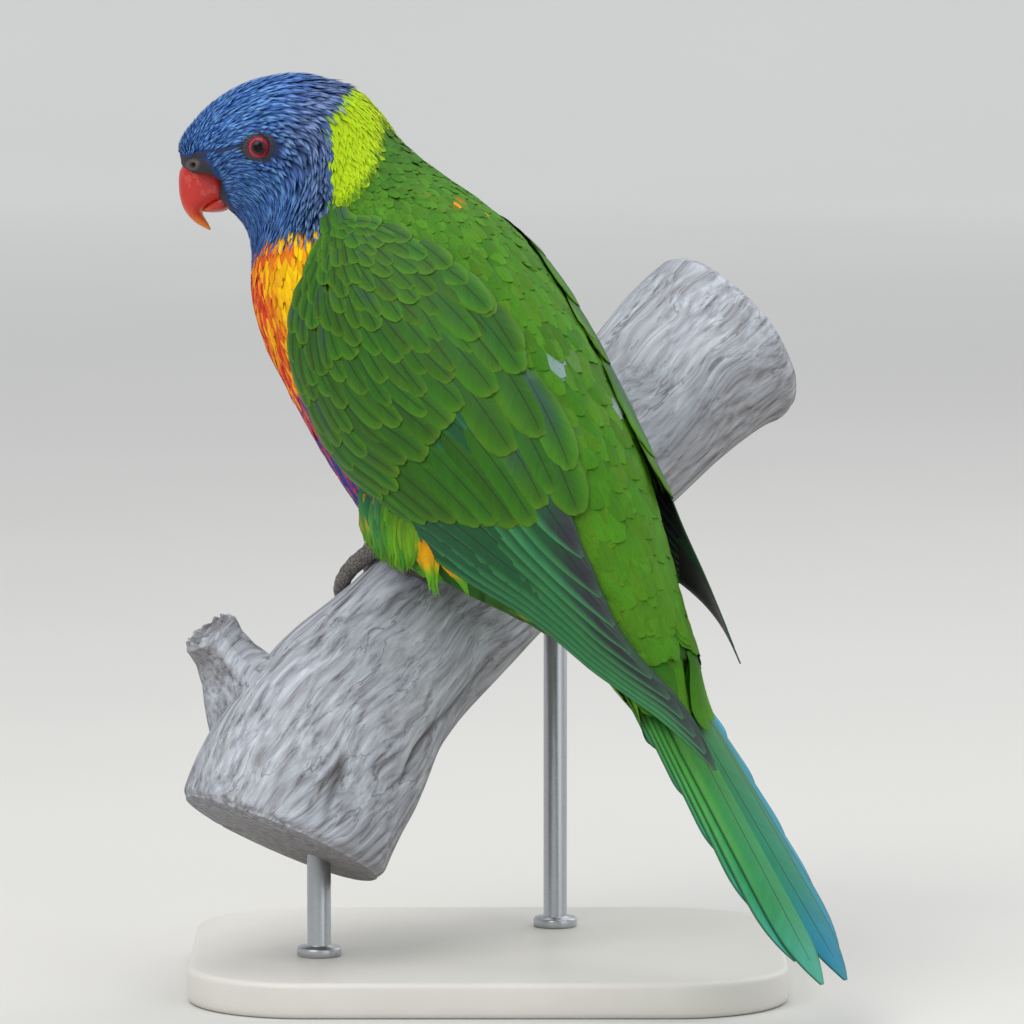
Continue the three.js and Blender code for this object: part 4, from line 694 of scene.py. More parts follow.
def primaries(key, node):
    W = wing[key]; n = 10; i = np.arange(n); x = i / (n - 1.0)
    t0 = 16.2 + 0.5 * x; tip = 20.3 + (W.end - 20.3) * x ** 0.8 if key == "left" else 19.4 + (W.end - 19.4) * x ** 0.8
    w0 = 0.55 - (0.78 if key == "left" else 0.61) * x; wt = 0.78 - (0.53 if key == "left" else 0.47) * x
    K = 34; q = qs(K)
    T = t0[:, None] + (tip - t0)[:, None] * q[None]; Wd = w0[:, None] + (wt - w0)[:, None] * q[None] ** 0.8
    P, Nn = W.point(T, np.clip(Wd, -0.26, 1)); lift = -0.75 + 0.45 * (1 - x)[:, None] + 0.25 * q[None]; P = P + Nn * lift[..., None]
    half = np.linspace(5.4, 4.9, n)
    if key == "left":
        base, tipc, edge = srgb("1d5833"), srgb("302e38"), srgb("4aa862")
    else:
        base, tipc, edge = srgb("1d1a1c"), srgb("161416"), srgb("2a272a")
    def col(Cc, Q, N):
        c = mix(base, tipc, (smooth(0.62, 0.92, Q)[None] * np.ones((N, 1, 1))))
        outer = smooth(0.55, 1.0, Cc * (1 if key == "left" else -1))[None]; inner = smooth(-0.1, -0.7, Cc)[None] if key == "left" else 0
        c = mix(c, srgb("3a3a40"), 0.7 * (smooth(0.0, 0.8, -Cc)[None] * smooth(0.45, 0.8, Q)[None] + 0 * x[:, None, None]) if key == "left" else np.zeros((N,) + Q.shape))
        c = mix(c, edge, 0.75 * outer + 0 * x[:, None, None])
        if key == "right": c = mix(srgb("234f1a"), c, smooth(0.30, 0.55, Q)[None] + 0 * x[:, None, None])
        return c
    uv = np.stack([np.full(n, 0.5), 0.05 + 0.1 * i], -1)
    ob = vanes("primaries_" + key, P, Nn, half, "pointed", col, uv, MAT_FLIGHT, cols=9, camber=0.05, curve_r=60.0, ragged=0.0, thick=0.35)
    strip_uv(ob, n, K, 9)
    return piece(ob, "wing_feathers", node)
def strip_uv(ob, n, K, cols):
    """each long feather has its own strip of the map"""
    me = ob.data; lay = me.uv_layers["OFBake"]; per = K * cols; nv = n * per
    idx = np.empty(len(me.loops), np.int32); me.loops.foreach_get("vertex_index", idx)
    under = idx >= nv; j = idx % nv; fe, rest = j // per, j % per; k, c = rest // cols, rest % cols
    v = (fe + 0.1 + 0.8 * c / (cols - 1)) / n * 0.49 + 0.5 * under; u = 0.01 + 0.98 * k / (K - 1)
    lay.data.foreach_set("uv", np.stack([u, v], 1).astype(np.float32).ravel())
for key in ("left", "right"):
    primaries(key, "wing_" + key); coverts(key)

# ---------------------------------------------------------------------------------------------------- tail
REACH = [1.02, .93, .79, .6, .4, .22]; ACROSS = [5.6, 10.2, 12.6, 14.4, 15.6, 17.0]
def make_tail():
    K, cols = 40, 9; q = qs(K); P, half, ids = [], [], []
    for i in range(6):
        for side in (1, -1):
            al = -3 + (TAIL_LEN * REACH[i] + 3) * q; ac = side * (1.6 + i * 1.1 + (ACROSS[i] * ((0.86, 0.80, 0.72, 0.62, 0.55, 0.5)[i] if side > 0 else 0.98) - .4 - 1.6 - i * 1.1) * np.minimum(1, q * 1.05))
            up = 1.4 - i * .62 - .012 * ac ** 2 + (0.12 if side > 0 else 0.0)
            P.append(tail_point(al, ac, up)); half.append(6.3 - 0.25 * i); ids.append((i, side))
    P = np.array(P); n = len(P); Nn = np.broadcast_to(T_UP, P.shape).copy(); ids = np.array(ids)
    half = np.array(half)
    def col(Cc, Q, N):
        i = ids[:, 0][:, None, None]; sd = ids[:, 1][:, None, None]
        qq = Q[None] + 0 * i; near = sd > 0; out = np.clip(Cc[None] * sd * -1, -1, 1) + 0 * i
        left = mix(mix(srgb("2f8a2c"), srgb("2c9058"), smooth(0.2, 0.65, qq)), srgb("46a996"), smooth(0.72, 1.0, qq))
        left = mix(left, srgb("62b43a"), 0.55 * smooth(0.45, 1.0, -out) * (1 - smooth(0.5, 0.8, qq)))
        right = mix(mix(srgb("1f7a3c"), srgb("15815f"), smooth(0.2, 0.6, qq)), srgb("1780a0"), smooth(0.62, 0.95, qq))
        right = mix(right, srgb("4f9a3a"), 0.5 * smooth(0.3, 0.95, -out * -1) * (1 - smooth(0.5, 0.8, qq)) * (i == 0))
        edge = mix(srgb("109aa0"), srgb("22a6d0"), smooth(0.0, 0.9, np.abs(out)) * smooth(0.2, 0.9, qq))
        right = mix(right, edge, np.clip(1.0 * (i >= 2) + 0.5 * (i == 1) * smooth(0.3, 0.9, qq), 0, 1))
        g = np.where(near[..., None], left, right)
        return g
    uv = np.zeros((n, 2)); ob = vanes("tail_feathers", P, Nn, half, "flight", col, uv, MAT_FLIGHT, cols=cols, camber=0.05, curve_r=60.0, ragged=0.0, thick=0.4)
    strip_uv(ob, n, K, cols)
    return piece(ob, "tail_feathers", "tail")
make_tail()
def bridge_coverts(name, count, phi_c, spread, reach, half, up0, under, colour):
    """coverts that run from the rump onto the tail"""
    K = 12; q = qs(K); n = count
    f = phi_c + rng.uniform(-spread, spread, n); s = rng.uniform(19.8, 22.95, n)
    p0 = body.point(s, f); _, _, n0 = body.grad(s, f)
    ac = np.sin(f - (pi if under else 0)) * (11.5 if not under else -11.5) * rng.uniform(0.8, 1.0, n); ln = rng.uniform(*reach, n) * (1 - 0.5 * (np.abs(ac) / 13) ** 2)
    ln = ln + (s - 22.95) * 6
    up = (up0 - 0.010 * ac ** 2)
    p1 = tail_point(np.maximum(ln, 3), ac, up); d = np.linalg.norm(p1 - p0, axis=1)[:, None]
    ps = body.grad(s, f)[0]; ps /= np.linalg.norm(ps, axis=1, keepdims=True); m0, m1 = ps * d, T_ALONG[None] * d
    P = np.stack([(2*x**3-3*x**2+1)*p0 + (x**3-2*x**2+x)*m0 + (3*x**2-2*x**3)*p1 + (x**3-x**2)*m1 for x in q], 1)
    Nn = n0[:, None] * (1 - q)[None, :, None] + (T_UP * (-1 if under else 1))[None, None] * q[None, :, None]; Nn /= np.linalg.norm(Nn, axis=-1, keepdims=True)
    lift = -0.7 + (0.7 + rng.uniform(0, 0.8, n))[:, None] * q[None] ** 0.6
    rnd = rng.random(n)
    def col(Cc, Q, N): return colour(Q[None] + 0 * rnd[:, None, None], rnd[:, None, None] + 0 * Q[None], Cc[None] + 0 * rnd[:, None, None])
    ob = vanes(name, P, Nn, half * rng.uniform(0.85, 1.1, n), "round", col, skin_uv(s, f), MAT_BODY, cols=7, camber=0.12, rows_lift=lift, curve_r=24.0)
    piece(ob, "green_feathers")
bridge_coverts("coverts_tail_upper", 210, 0.0, 1.35, (5, 19), 3.3, 2.2, False, lambda q, r, c: mix(mix(GREEN, GREEN_L, 0.5 * r + 0.3 * q), GREEN_D, 0.35 * (1 - smooth(0, 0.5, q))))
bridge_coverts("coverts_tail_under", 90, pi, 1.45, (6, 24), 3.4, -2.6, True, lambda q, r, c: mix(mix(srgb("5f9420"), srgb("a8a81c"), 0.8 * r), srgb("2f7435"), 0.7 * smooth(0.55, 1, q)))

# ---------------------------------------------------------------------------------------------------- thighs and vent
def thigh_coat():
    allP, allN, allL, allH, allC = [], [], [], [], []
    for name, side in (("left", 1), ("right", -1)):
        at, base, _ = FEET[name]; hip = belly[0:3] + belly[3:6] * side * 17 - belly[6:9] * 12
        hem = on_perch(at + HEM[name][0], radians(HEM[name][1]), 5.5)
        c, T, A, B, r, _ = tube_rings([hip, hip + (hem - hip) * .45, hip + (hem - hip) * .8, hem], [12.5, 13.2, 10, 3.8], 8, 60)
        n = 620; x = rng.uniform(0.12, 0.90, n); a = rng.uniform(0, 2 * pi, n); ln = rng.uniform(6.5, 9.5, n); K = 6; q = qs(K)
        tot = np.linalg.norm(np.diff(c, axis=0), axis=1).sum()
        X = x[:, None] + (ln / tot)[:, None] * q[None]; over = np.maximum(X - 1.0, 0); Xi = np.clip(X, 0, 1) * 59
        g = lambda arr: np.stack([np.interp(Xi, np.arange(60), arr[:, j]) for j in range(3)], -1)
        Cn, Tn, An, Bn = g(c), g(T), g(A), g(B); R = np.interp(Xi, np.arange(60), r)
        nrm = An * np.cos(a)[:, None, None] + Bn * np.sin(a)[:, None, None]
        P = Cn + nrm * (R - 0.9 + 1.3 * q[None] ** 0.8)[..., None] + Tn * (over * tot)[..., None]
        allP.append(P); allN.append(nrm); allL.append(x); allH.append(np.full(n, 1.5)); allC.append(rng.random(n))
    P, Nn, x, h, rnd = (np.concatenate(v) for v in (allP, allN, allL, allH, allC))
    def col(Cc, Q, N):
        c = mix(mix(srgb("2f7f2c"), srgb("86b51f"), rnd), srgb("1f6b52"), 0.5 * (rnd > 0.8))[:, None, None]
        # painted shade: darker towards each feather's root, under the overlying feathers
        return c * (0.55 + 0.5 * smooth(0, 0.6, Q))[None, ..., None]
    uv = np.stack([0.03 + 0.45 * x + 0.5 * (np.arange(len(x)) >= len(x) // 2), rng.uniform(0.02, 0.98, len(x))], -1)
    ob = vanes("coat_thighs", P, Nn, h, "round", col, uv, MAT_BODY, cols=3, camber=0.25, curve_r=8.0)
    piece(ob, "green_feathers")
thigh_coat()
TT, AA = np.meshgrid(np.linspace(2.4, 6.2, 160), np.linspace(-0.6, 2.4, 120), indexing="ij"); GRIP = on_perch(TT, AA).reshape(-1, 3)
GX, GY = front_px(GRIP)
def perch_front(u, v):
    out = []
    for a, b in zip(512 + 4 * np.ravel(u), 512 - 4 * np.ravel(v)):
        near = (GX - a) ** 2 + (GY - b) ** 2 < 20; out.append(GRIP[near, 1].min() if near.any() else np.nan)
    out = np.array(out); k = np.arange(len(out)); ok = ~np.isnan(out)
    return np.interp(k, k[ok], out[ok]) if ok.any() else np.zeros(len(out))
def vent_tufts():
    # (tip px, root px, share of yellow, half width)
    n1, n2, n3 = 210, 34, 30; n = n1 + n2 + n3; g = rng.random(n); short = rng.random(n) ** 1.6
    x1 = 366 + 48 * g[:n1] + rng.normal(0, 2, n1); y1 = np.interp(x1, [366, 380, 400, 410, 418], [546, 564, 574, 572, 560]) - 18 * short[:n1]
    tipx = np.concatenate([x1, 436 + rng.normal(0, 2.0, n2) - 7 * short[n1:n1 + n2], 468 + rng.normal(0, 2.0, n3) - 9 * short[n1 + n2:]])
    tipy = np.concatenate([y1, 596 - 20 * short[n1:n1 + n2] + rng.normal(0, 1.5, n2), 596 - 22 * short[n1 + n2:] + rng.normal(0, 1.5, n3)])
    rootx = np.concatenate([x1 - 3 + 6 * g[:n1], 410 + 17 * g[n1:n1 + n2], 433 + 16 * g[n1 + n2:]])
    rooty = np.concatenate([y1 - rng.uniform(30, 52, n1), 520 + 14 * rng.random(n2), 538 + 12 * rng.random(n3)])
    tu, tv, ru, rv = (tipx - 512) / 4, (512 - tipy) / 4, (rootx - 512) / 4, (512 - rooty) / 4
    bs, bf = np.meshgrid(np.linspace(14, 22, 160), np.linspace(0.6, 2.9, 160), indexing="ij"); BP = body.point(bs, bf).reshape(-1, 3); bx, by = front_px(BP)
    d0 = np.array([BP[np.argsort((bx - x) ** 2 + (by - y) ** 2)[:12], 1].min() for x, y in zip(rootx, rooty)]) + np.where(np.arange(n) < n1, 0.35, 1.1)
    d1 = np.minimum(perch_front(tu, tv) - 2.6, d0 + 9.0) - 1.6 * rng.random(n)
    K = 8; q = qs(K); P = np.stack([np.array([place(*x) for x in zip(ru + (tu - ru) * y, rv + (tv - rv) * y, d0 + (d1 - d0) * y - 1.4 * y * sin(pi * y))]) for y in q], 1)
    Nn = np.broadcast_to(np.array([-0.25, -1.0, 0.25]) / 1.06, P.shape).copy(); rnd = rng.random(n)
    yel = 1.0 * (np.arange(n) >= n1) + 0.55 * (np.arange(n) < n1) * (rng.random(n) < 0.10)
    def col(Cc, Q, N):
        Y = yel[:, None, None] + 0 * Q[None]; R = rnd[:, None, None] + 0 * Q[None]
        green = mix(srgb("3d8a2a"), srgb("7fb420"), R); teal = mix(green, srgb("1f7a66"), 0.7 * (tipx < 384)[:, None, None] * (1 - Q)[None])
        yl = mix(mix(srgb("f7b80e"), srgb("f08b12"), 0.5 * R), srgb("6fb32a"), smooth(0.52, 0.74, Q)[None] + 0 * R)
        # painted shade: darker towards each tuft's root, under the overlying tufts
        return mix(teal, yl, Y) * (0.6 + 0.4 * smooth(0.1, 0.6, Q))[None, ..., None]
    ob = vanes("coat_vent", P, Nn, rng.uniform(1.0, 1.9, n), "hackle", col, np.stack([0.05 + 0.9 * g, rng.uniform(0.05, 0.95, n)], -1), MAT_BREAST, cols=5, camber=0.25, curve_r=9.0)
    piece(ob, "green_feathers")
vent_tufts()

# ---------------------------------------------------------------------------------------------------- feet and claws
m = M("scaly_toes"); tc = m.n("ShaderNodeTexCoord").outputs["Object"]
vo = m.n("ShaderNodeTexVoronoi", feature="DISTANCE_TO_EDGE", ins={"Scale": 1150.0, "Vector": tc}); no = m.n("ShaderNodeTexNoise", ins={"Scale": 320.0, "Detail": 4.0, "Vector": tc})
edge = m.math("MINIMUM", m.math("MULTIPLY", vo.outputs["Distance"], 6.0), 1.0)
c = m.mixc(no.outputs[0], srgb("56524f"), srgb("9a958e")); c = m.mixc(m.math("MULTIPLY", m.math("SUBTRACT", 1.0, edge), 0.75), c, srgb("2b2928"))
m.set(Base_Color=c, Roughness=0.6, Normal=m.n("ShaderNodeBump", ins={"Strength": 0.7, "Distance": 0.0003, "Height": edge}).outputs[0])
FOOT = m.m
m = M("claw_horn"); tc = m.n("ShaderNodeTexCoord").outputs["Object"]; no = m.n("ShaderNodeTexNoise", ins={"Scale": 500.0, "Detail": 4.0, "Vector": tc})
m.set(Base_Color=m.mixc(no.outputs[0], srgb("1e1c1b"), srgb("4a4542")), Roughness=0.35, Normal=m.n("ShaderNodeBump", ins={"Strength": 0.2, "Distance": 0.0002, "Height": no.outputs[0]}).outputs[0])
CLAW = m.m
for name, side in (("left", 1), ("right", -1)):
    toes, claws = foot_lofts(name, side)
    piece(closed_lofts("scaly_foot_" + name, toes, FOOT), "scaly_skin", "foot_" + name)
    piece(closed_lofts("claws_" + name, claws, CLAW), "claw_horn", *["claw_%s_%d" % (name, i) for i in (1, 2, 3, 4)])

# ---------------------------------------------------------------------------------------------------- bill
HEADC = body.at(np.array(3.0)); H_LEFT = HEADC[3:6]
UPPER = [(-80.5,89.3,-67.6,84.4,6.0),(-82.3,86.6,-68.4,81.2,6.6),(-83.1,84.9,-68.8,79.3,6.5),(-83.25,82.2,-72.0,78.0,5.6),(-83.0,79.2,-75.2,76.6,4.7),(-82.2,76.3,-76.9,75.6,3.7),(-80.9,74.2,-77.3,74.6,2.6),(-79.0,72.3,-76.7,73.4,1.6),(-77.0,71.1,-75.9,72.1,0.8),(-75.6,70.4,-75.3,70.8,0.35)]
LOWER = [(-71.6,80.2,-69.5,76.6,4.6),(-73.0,79.4,-71.6,75.3,4.6),(-74.6,78.4,-74.0,74.9,4.0),(-76.0,77.0,-76.2,75.0,3.0),(-77.0,76.1,-77.2,75.2,1.8)]
def bill_loft(rows, steps, sides, power, upper):
    n = len(rows) - 1; R = course(rows, np.arange(n + 1), np.linspace(0, n, steps)); a = np.linspace(0, 2 * pi, sides, endpoint=False)
    c, s = np.cos(a), np.sin(a); x = 0.5 - 0.5 * np.sign(c) * np.abs(c) ** power; w = np.sign(s) * np.abs(s) ** 0.9
    out, tint = np.empty((steps, sides, 3)), np.empty((steps, sides, 3)); q = np.linspace(0, 1, steps)
    for i, (u0, v0, u1, v1, h) in enumerate(R):
        for k in range(sides):
            lat = w[k] * h * (1 + (0.05 * np.exp(-((x[k] - 0.86) / 0.07) ** 2) if upper else 0))
            out[i, k] = place(u0 + (u1 - u0) * x[k], v0 + (v1 - v0) * x[k], 34.6) + H_LEFT * lat
            tint[i, k] = (q[i], x[k], w[k])
    return out, tint
def bill_material(upper):
    m = M("bill_upper_horn" if upper else "bill_lower_horn"); t = m.n("ShaderNodeSeparateXYZ", ins={0: m.attr("place").outputs["Vector"]}); q, x, w = t.outputs
    tc = m.n("ShaderNodeTexCoord").outputs["Object"]; no = m.n("ShaderNodeTexNoise", ins={"Scale": 260.0, "Detail": 5.0, "Roughness": 0.6, "Vector": tc}); fine = m.n("ShaderNodeTexNoise", ins={"Scale": 900.0, "Detail": 4.0, "Vector": tc})
    jag = m.math("MULTIPLY", m.math("SUBTRACT", no.outputs[0], 0.5), 0.22); k = m.math("ADD", q, jag)
    if upper:
        col = m.ramp(k, [(0.0, srgb("b8322c")), (0.10, srgb("c8221c")), (0.48, srgb("d42618")), (0.66, srgb("e2501a")), (0.80, srgb("ec7f22")), (1.0, srgb("f0a53a"))])
        patch = m.math("MULTIPLY", m.math("GREATER_THAN", no.outputs[0], 0.60), m.math("LESS_THAN", q, 0.34)); col = m.mixc(m.math("MULTIPLY", patch, 0.14), col, srgb("d9a08c"))
        tom = m.math("MULTIPLY", m.math("GREATER_THAN", m.math("ADD", x, m.math("MULTIPLY", jag, 0.4)), 0.93), m.math("GREATER_THAN", q, 0.25)); col = m.mixc(m.math("MULTIPLY", tom, 0.6), col, srgb("e88a2c"))
        fleck = m.math("GREATER_THAN", fine.outputs[0], 0.70); col = m.mixc(m.math("MULTIPLY", fleck, 0.45), col, srgb("e9d6c2"))
    else:
        col = m.ramp(k, [(0.0, srgb("a8231f")), (0.5, srgb("c8301f")), (1.0, srgb("e07a22"))])
        fleck = m.math("GREATER_THAN", fine.outputs[0], 0.72); col = m.mixc(m.math("MULTIPLY", fleck, 0.35), col, srgb("e9d6c2"))
    col = m.mixc(m.math("MULTIPLY", m.math("SUBTRACT", 1.0, no.outputs[0]), 0.35), col, (0.55, 0.12, 0.10), "MULTIPLY")
    bp = m.n("ShaderNodeBump", ins={"Strength": 0.25, "Distance": 0.0002, "Height": m.math("ADD", no.outputs[0], m.math("MULTIPLY", fine.outputs[0], 0.5))})
    m.set(Base_Color=col, Roughness=m.math("ADD", 0.26, m.math("MULTIPLY", fine.outputs[0], 0.22)), Normal=bp.outputs[0], Subsurface_Weight=0.12, Coat_Weight=0.25, Coat_Roughness=0.2)
    m.p.inputs["Subsurface Radius"].default_value = (0.0012, 0.0004, 0.0002)
    return m.m
for rows, steps, up, node in ((UPPER, 90, True, "bill_upper"), (LOWER, 50, False, "bill_lower")):
    L, t = bill_loft(rows, steps, 64, 0.9, up)
    ob = closed_lofts("horn_" + node, [L], bill_material(up))
    data = np.concatenate([t.reshape(-1, 3), t[0].mean(0)[None], t[-1].mean(0)[None]]); put_attr(ob, "place", "FLOAT_VECTOR", data)
    piece(ob, "bill_horn", node)

# ---------------------------------------------------------------------------------------------------- eyes and lids
def make_eye(name, side):
    a = side * EYE_F; pt = body.point(np.array(EYE_S), np.array(a)); f = body.at(np.array(EYE_S)); sn, cs = np.sin(a), np.cos(a)
    nrm = f[3:6] * sn / f[9] + f[6:9] * cs / f[10]; nrm /= np.linalg.norm(nrm)
    R = 3.5; ctr = pt - nrm * (sqrt(R * R - 2.75 ** 2) + 0.35)
    x = np.cross(nrm, [0, 0, 1.0]); x /= np.linalg.norm(x); y = np.cross(x, nrm)
    th = np.concatenate([np.linspace(0, 1.15, 60), np.linspace(1.15, pi, 20)[1:]]); ph = np.linspace(0, 2 * pi, 72, endpoint=False)
    Th, Ph = np.meshgrid(th, ph, indexing="ij"); r = R + 0.30 * (1 - smooth(0.30, 0.78, Th)) * (np.cos(Th * 0.8))
    P = ctr + (x * np.cos(Ph)[..., None] + y * np.sin(Ph)[..., None]) * (np.sin(Th) * r)[..., None] + nrm * (np.cos(Th) * r)[..., None]
    rad_ = np.sin(Th) * r
    ob = closed_lofts("eyeball_" + name, [P], None, [np.stack([rad_ / 4, Ph / 7, Th / 4], -1)])
    m = M("eye_" + name); t = m.n("ShaderNodeSeparateXYZ", ins={0: m.attr("tint").outputs["Color"]}) if False else m.n("ShaderNodeSeparateColor", ins={0: m.attr("tint").outputs["Color"]})
    rr = m.math("MULTIPLY", t.outputs[0], 4.0); an = m.math("MULTIPLY", t.outputs[1], 7.0)
    spokes = m.n("ShaderNodeTexNoise", ins={"Scale": 1.0, "Detail": 3.0, "Vector": m.n("ShaderNodeCombineXYZ", ins={0: m.math("MULTIPLY", m.math("SINE", an), 9.0), 1: m.math("MULTIPLY", m.math("COSINE", an), 9.0), 2: rr}).outputs[0]})
    k = m.math("DIVIDE", rr, 2.8)
    ring = m.ramp(k, [(0.0, (0.002, 0.002, 0.003)), (0.40, (0.002, 0.002, 0.003)), (0.45, srgb("2c2426")), (0.58, srgb("4a3838")), (0.66, srgb("6a2730")), (0.73, srgb("c2304a")), (0.88, srgb("c83c52")), (0.96, srgb("6a2a34")), (1.0, srgb("1c1517"))])
    col = m.mixc(m.math("MULTIPLY", m.math("GREATER_THAN", k, 0.38), m.math("MULTIPLY", spokes.outputs[0], 0.55)), ring, (0.30, 0.06, 0.06), "MULTIPLY")
    m.set(Base_Color=col, Roughness=0.16, Coat_Weight=0.1, Coat_Roughness=0.02, Specular_IOR_Level=0.18)
    ob.data.materials.append(m.m)
    piece(ob, "eye_glass", "eye_" + name)
    # lids: a wrinkled ring with a fine pale edge
    K, Mm = 26, 120; ph = np.linspace(0, 2 * pi, Mm, endpoint=False); pr = np.linspace(0, 1, K)
    rad0 = np.array([2.62, 2.66, 2.74, 2.86, 3.0, 3.2, 3.5, 3.9, 4.3]); hgt = np.array([-0.40, -0.05, 0.14, 0.20, 0.12, 0.06, 0.12, -0.06, -0.7])
    prof = course(np.stack([rad0, hgt], 1), np.linspace(0, 1, 9), pr)
    wr = 1 + 0.02 * np.sin(ph * 31 + 2 * np.sin(ph * 3))[None] * smooth(0.15, 0.5, pr)[:, None]
    rx = prof[:, :1] * wr * (1 + 0.05 * np.cos(ph * 2))[None]; h = prof[:, 1:] + 0.05 * np.sin(ph * 23 + pr[:, None] * 9) * smooth(0.2, 0.6, pr)[:, None]
    base = pt - nrm * 0.1
    P = base + (x * np.cos(ph)[None, :, None] + y * np.sin(ph)[None, :, None]) * rx[..., None] + nrm * h[..., None]
    P = P - nrm * ((rx ** 2) / 44)[..., None]
    ob = make_mesh("lids_" + name, P.reshape(-1, 3), grid_quads(1, K, Mm, closed=True), None)
    c = mix(np.broadcast_to(srgb("35323c"), (K, Mm, 3)), srgb("9b8f93"), (np.exp(-((pr - 0.18) / 0.10) ** 2) * 0.75)[:, None] * np.ones((1, Mm))); put_attr(ob, "tint", "FLOAT_COLOR", c.reshape(-1, 3))
    put_uv(ob, np.stack(np.broadcast_arrays(0.5 + 0.4 * pr[:, None] * np.cos(ph)[None], 0.5 + 0.4 * pr[:, None] * np.sin(ph)[None]), -1).reshape(-1, 2))
    m2 = M("lid_skin_" + name); no = m2.n("ShaderNodeTexNoise", ins={"Scale": 1100.0, "Detail": 3.0, "Vector": m2.n("ShaderNodeTexCoord").outputs["Object"]})
    m2.set(Base_Color=m2.mixc(m2.math("MULTIPLY", no.outputs[0], 0.5), m2.attr("tint").outputs["Color"], (0.02, 0.02, 0.025), "MULTIPLY"), Roughness=0.5, Normal=m2.n("ShaderNodeBump", ins={"Strength": 0.5, "Distance": 0.00015, "Height": no.outputs[0]}).outputs[0])
    ob.data.materials.append(m2.m); piece(ob, "scaly_skin")
make_eye("left", 1); make_eye("right", -1)

# ---------------------------------------------------------------------------------------------------- perch
from mathutils import noise as mn, Vector
def fbm(X, seed, octaves=4):
    """cheap smooth noise from summed sines with turned axes"""
    r = np.random.default_rng(seed); out = 0; amp, fr = 1.0, 1.0
    for _ in range(octaves):
        for _ in range(4):
            d = r.normal(size=X.shape[-1]); d /= np.linalg.norm(d); out = out + amp * np.sin((X @ d) * fr * 2.3 + r.uniform(0, 7) + 1.1 * np.sin((X @ r.normal(size=X.shape[-1])) * fr * 0.9)) / 4
        amp *= 0.5; fr *= 2.0
    return out
def make_perch():
    n, sd = 500, 170; t = np.linspace(0, 8, n); a = np.linspace(0, 2 * pi, sd, endpoint=False); T, A = np.meshgrid(t, a, indexing="ij")
    mid, al, e, nr, r = perch_frame(t)
    ln = np.concatenate([[0], np.cumsum(np.linalg.norm(np.diff(mid, axis=0), axis=1))]); Lm = ln[:, None] * np.ones((1, sd))
    X = np.stack([Lm / 26, np.cos(A) * 2.1, np.sin(A) * 2.1], -1); warp = fbm(X * 0.8, 5, 2)
    G = np.stack([Lm / 60, np.cos(A + 0.14 * warp) * 9, np.sin(A + 0.14 * warp) * 9], -1)
    grain = fbm(G, 8, 3); lump = fbm(X, 11, 3)
    crack = np.abs(fbm(np.stack([Lm / 75, np.cos(A + 0.2 * warp) * 3.4, np.sin(A + 0.2 * warp) * 3.4], -1), 14, 2)); crack = np.exp(-(crack / 0.035) ** 2) * smooth(0.15, 0.6, fbm(X * 1.3, 19, 2))
    lift = 0.35 * lump + 0.13 * grain - 0.9 * crack - 0.25
    end = np.minimum(ln, ln[-1] - ln)[:, None]; lift = lift - 1.2 * np.exp(-(end / 1.4) ** 2) + 0.0 * A
    P = on_perch(T, A, lift)
    st = []
    for c0, ac in ((0, al[0]), (n - 1, al[-1])):
        pass
    foot, tip = place(-65, -45, 3), place(-76.5, -29.3, 0); d = tip - foot; d /= np.linalg.norm(d); x = np.cross(d, [0, 1.0, 0]); x /= np.linalg.norm(x); y = np.cross(d, x)
    qs = np.linspace(0, 1, 90); rr = np.interp(qs * 5, range(6), [15, 11.5, 8.6, 7.4, 7.6, 6.4]); qq = np.interp(qs * 5, range(6), [-.25, .15, .45, .7, .92, 1]); m_ = 120; a2 = np.linspace(0, 2 * pi, m_, endpoint=False)
    Q, B = np.meshgrid(qs, a2, indexing="ij"); w = rr[:, None] * (1 + .07 * np.sin(3 * B + Q * 5) + .05 * np.sin(5 * B)) - 0.25 + 0.25 * fbm(np.stack([Q * 2, np.cos(B) * 4, np.sin(B) * 4], -1), 23, 3)
    jag = smooth(0.9, 1.0, Q) * (0.9 * np.abs(np.sin(B * 4.5 + 1)) + 0.5 * np.sin(B * 11))
    S = foot + (tip - foot) * qq[:, None, None] + d * (jag - 0.9 * smooth(0.9, 1, Q))[..., None] + x * (np.cos(B) * w)[..., None] + y * (np.sin(B) * w)[..., None]
    # splintered hollow in the snapped end
    ringn = 14; end_r = []
    for k in range(1, ringn):
        f = 1 - k / ringn; sp = S[-1].mean(0) + (S[-1] - S[-1].mean(0)) * f - d * (1.3 * (1 - f) ** 0.6 + 0.55 * np.sin(a2 * 13 + k * 1.7) * f * (k % 2))[:, None]; end_r.append(sp)
    S = np.concatenate([S, np.array(end_r)], 0); rn = S.shape[0]
    shade1 = np.stack([(Lm / 200), (A / (2 * pi)) * np.ones_like(T), np.clip(crack, 0, 1)], -1)
    shade2 = np.stack([np.broadcast_to(np.linspace(0.02, 0.06, rn)[:, None], (rn, m_)), np.broadcast_to((a2 / (2 * pi))[None], (rn, m_)), np.concatenate([np.zeros((90, m_)), np.full((rn - 90, m_), 0.55)])], -1)
    ends = []
    ob = closed_lofts("branch", [P, S], None, [shade1, shade2])
    ob.data.materials.append(wood(ob)); return piece(ob, "weathered_wood", "perch")
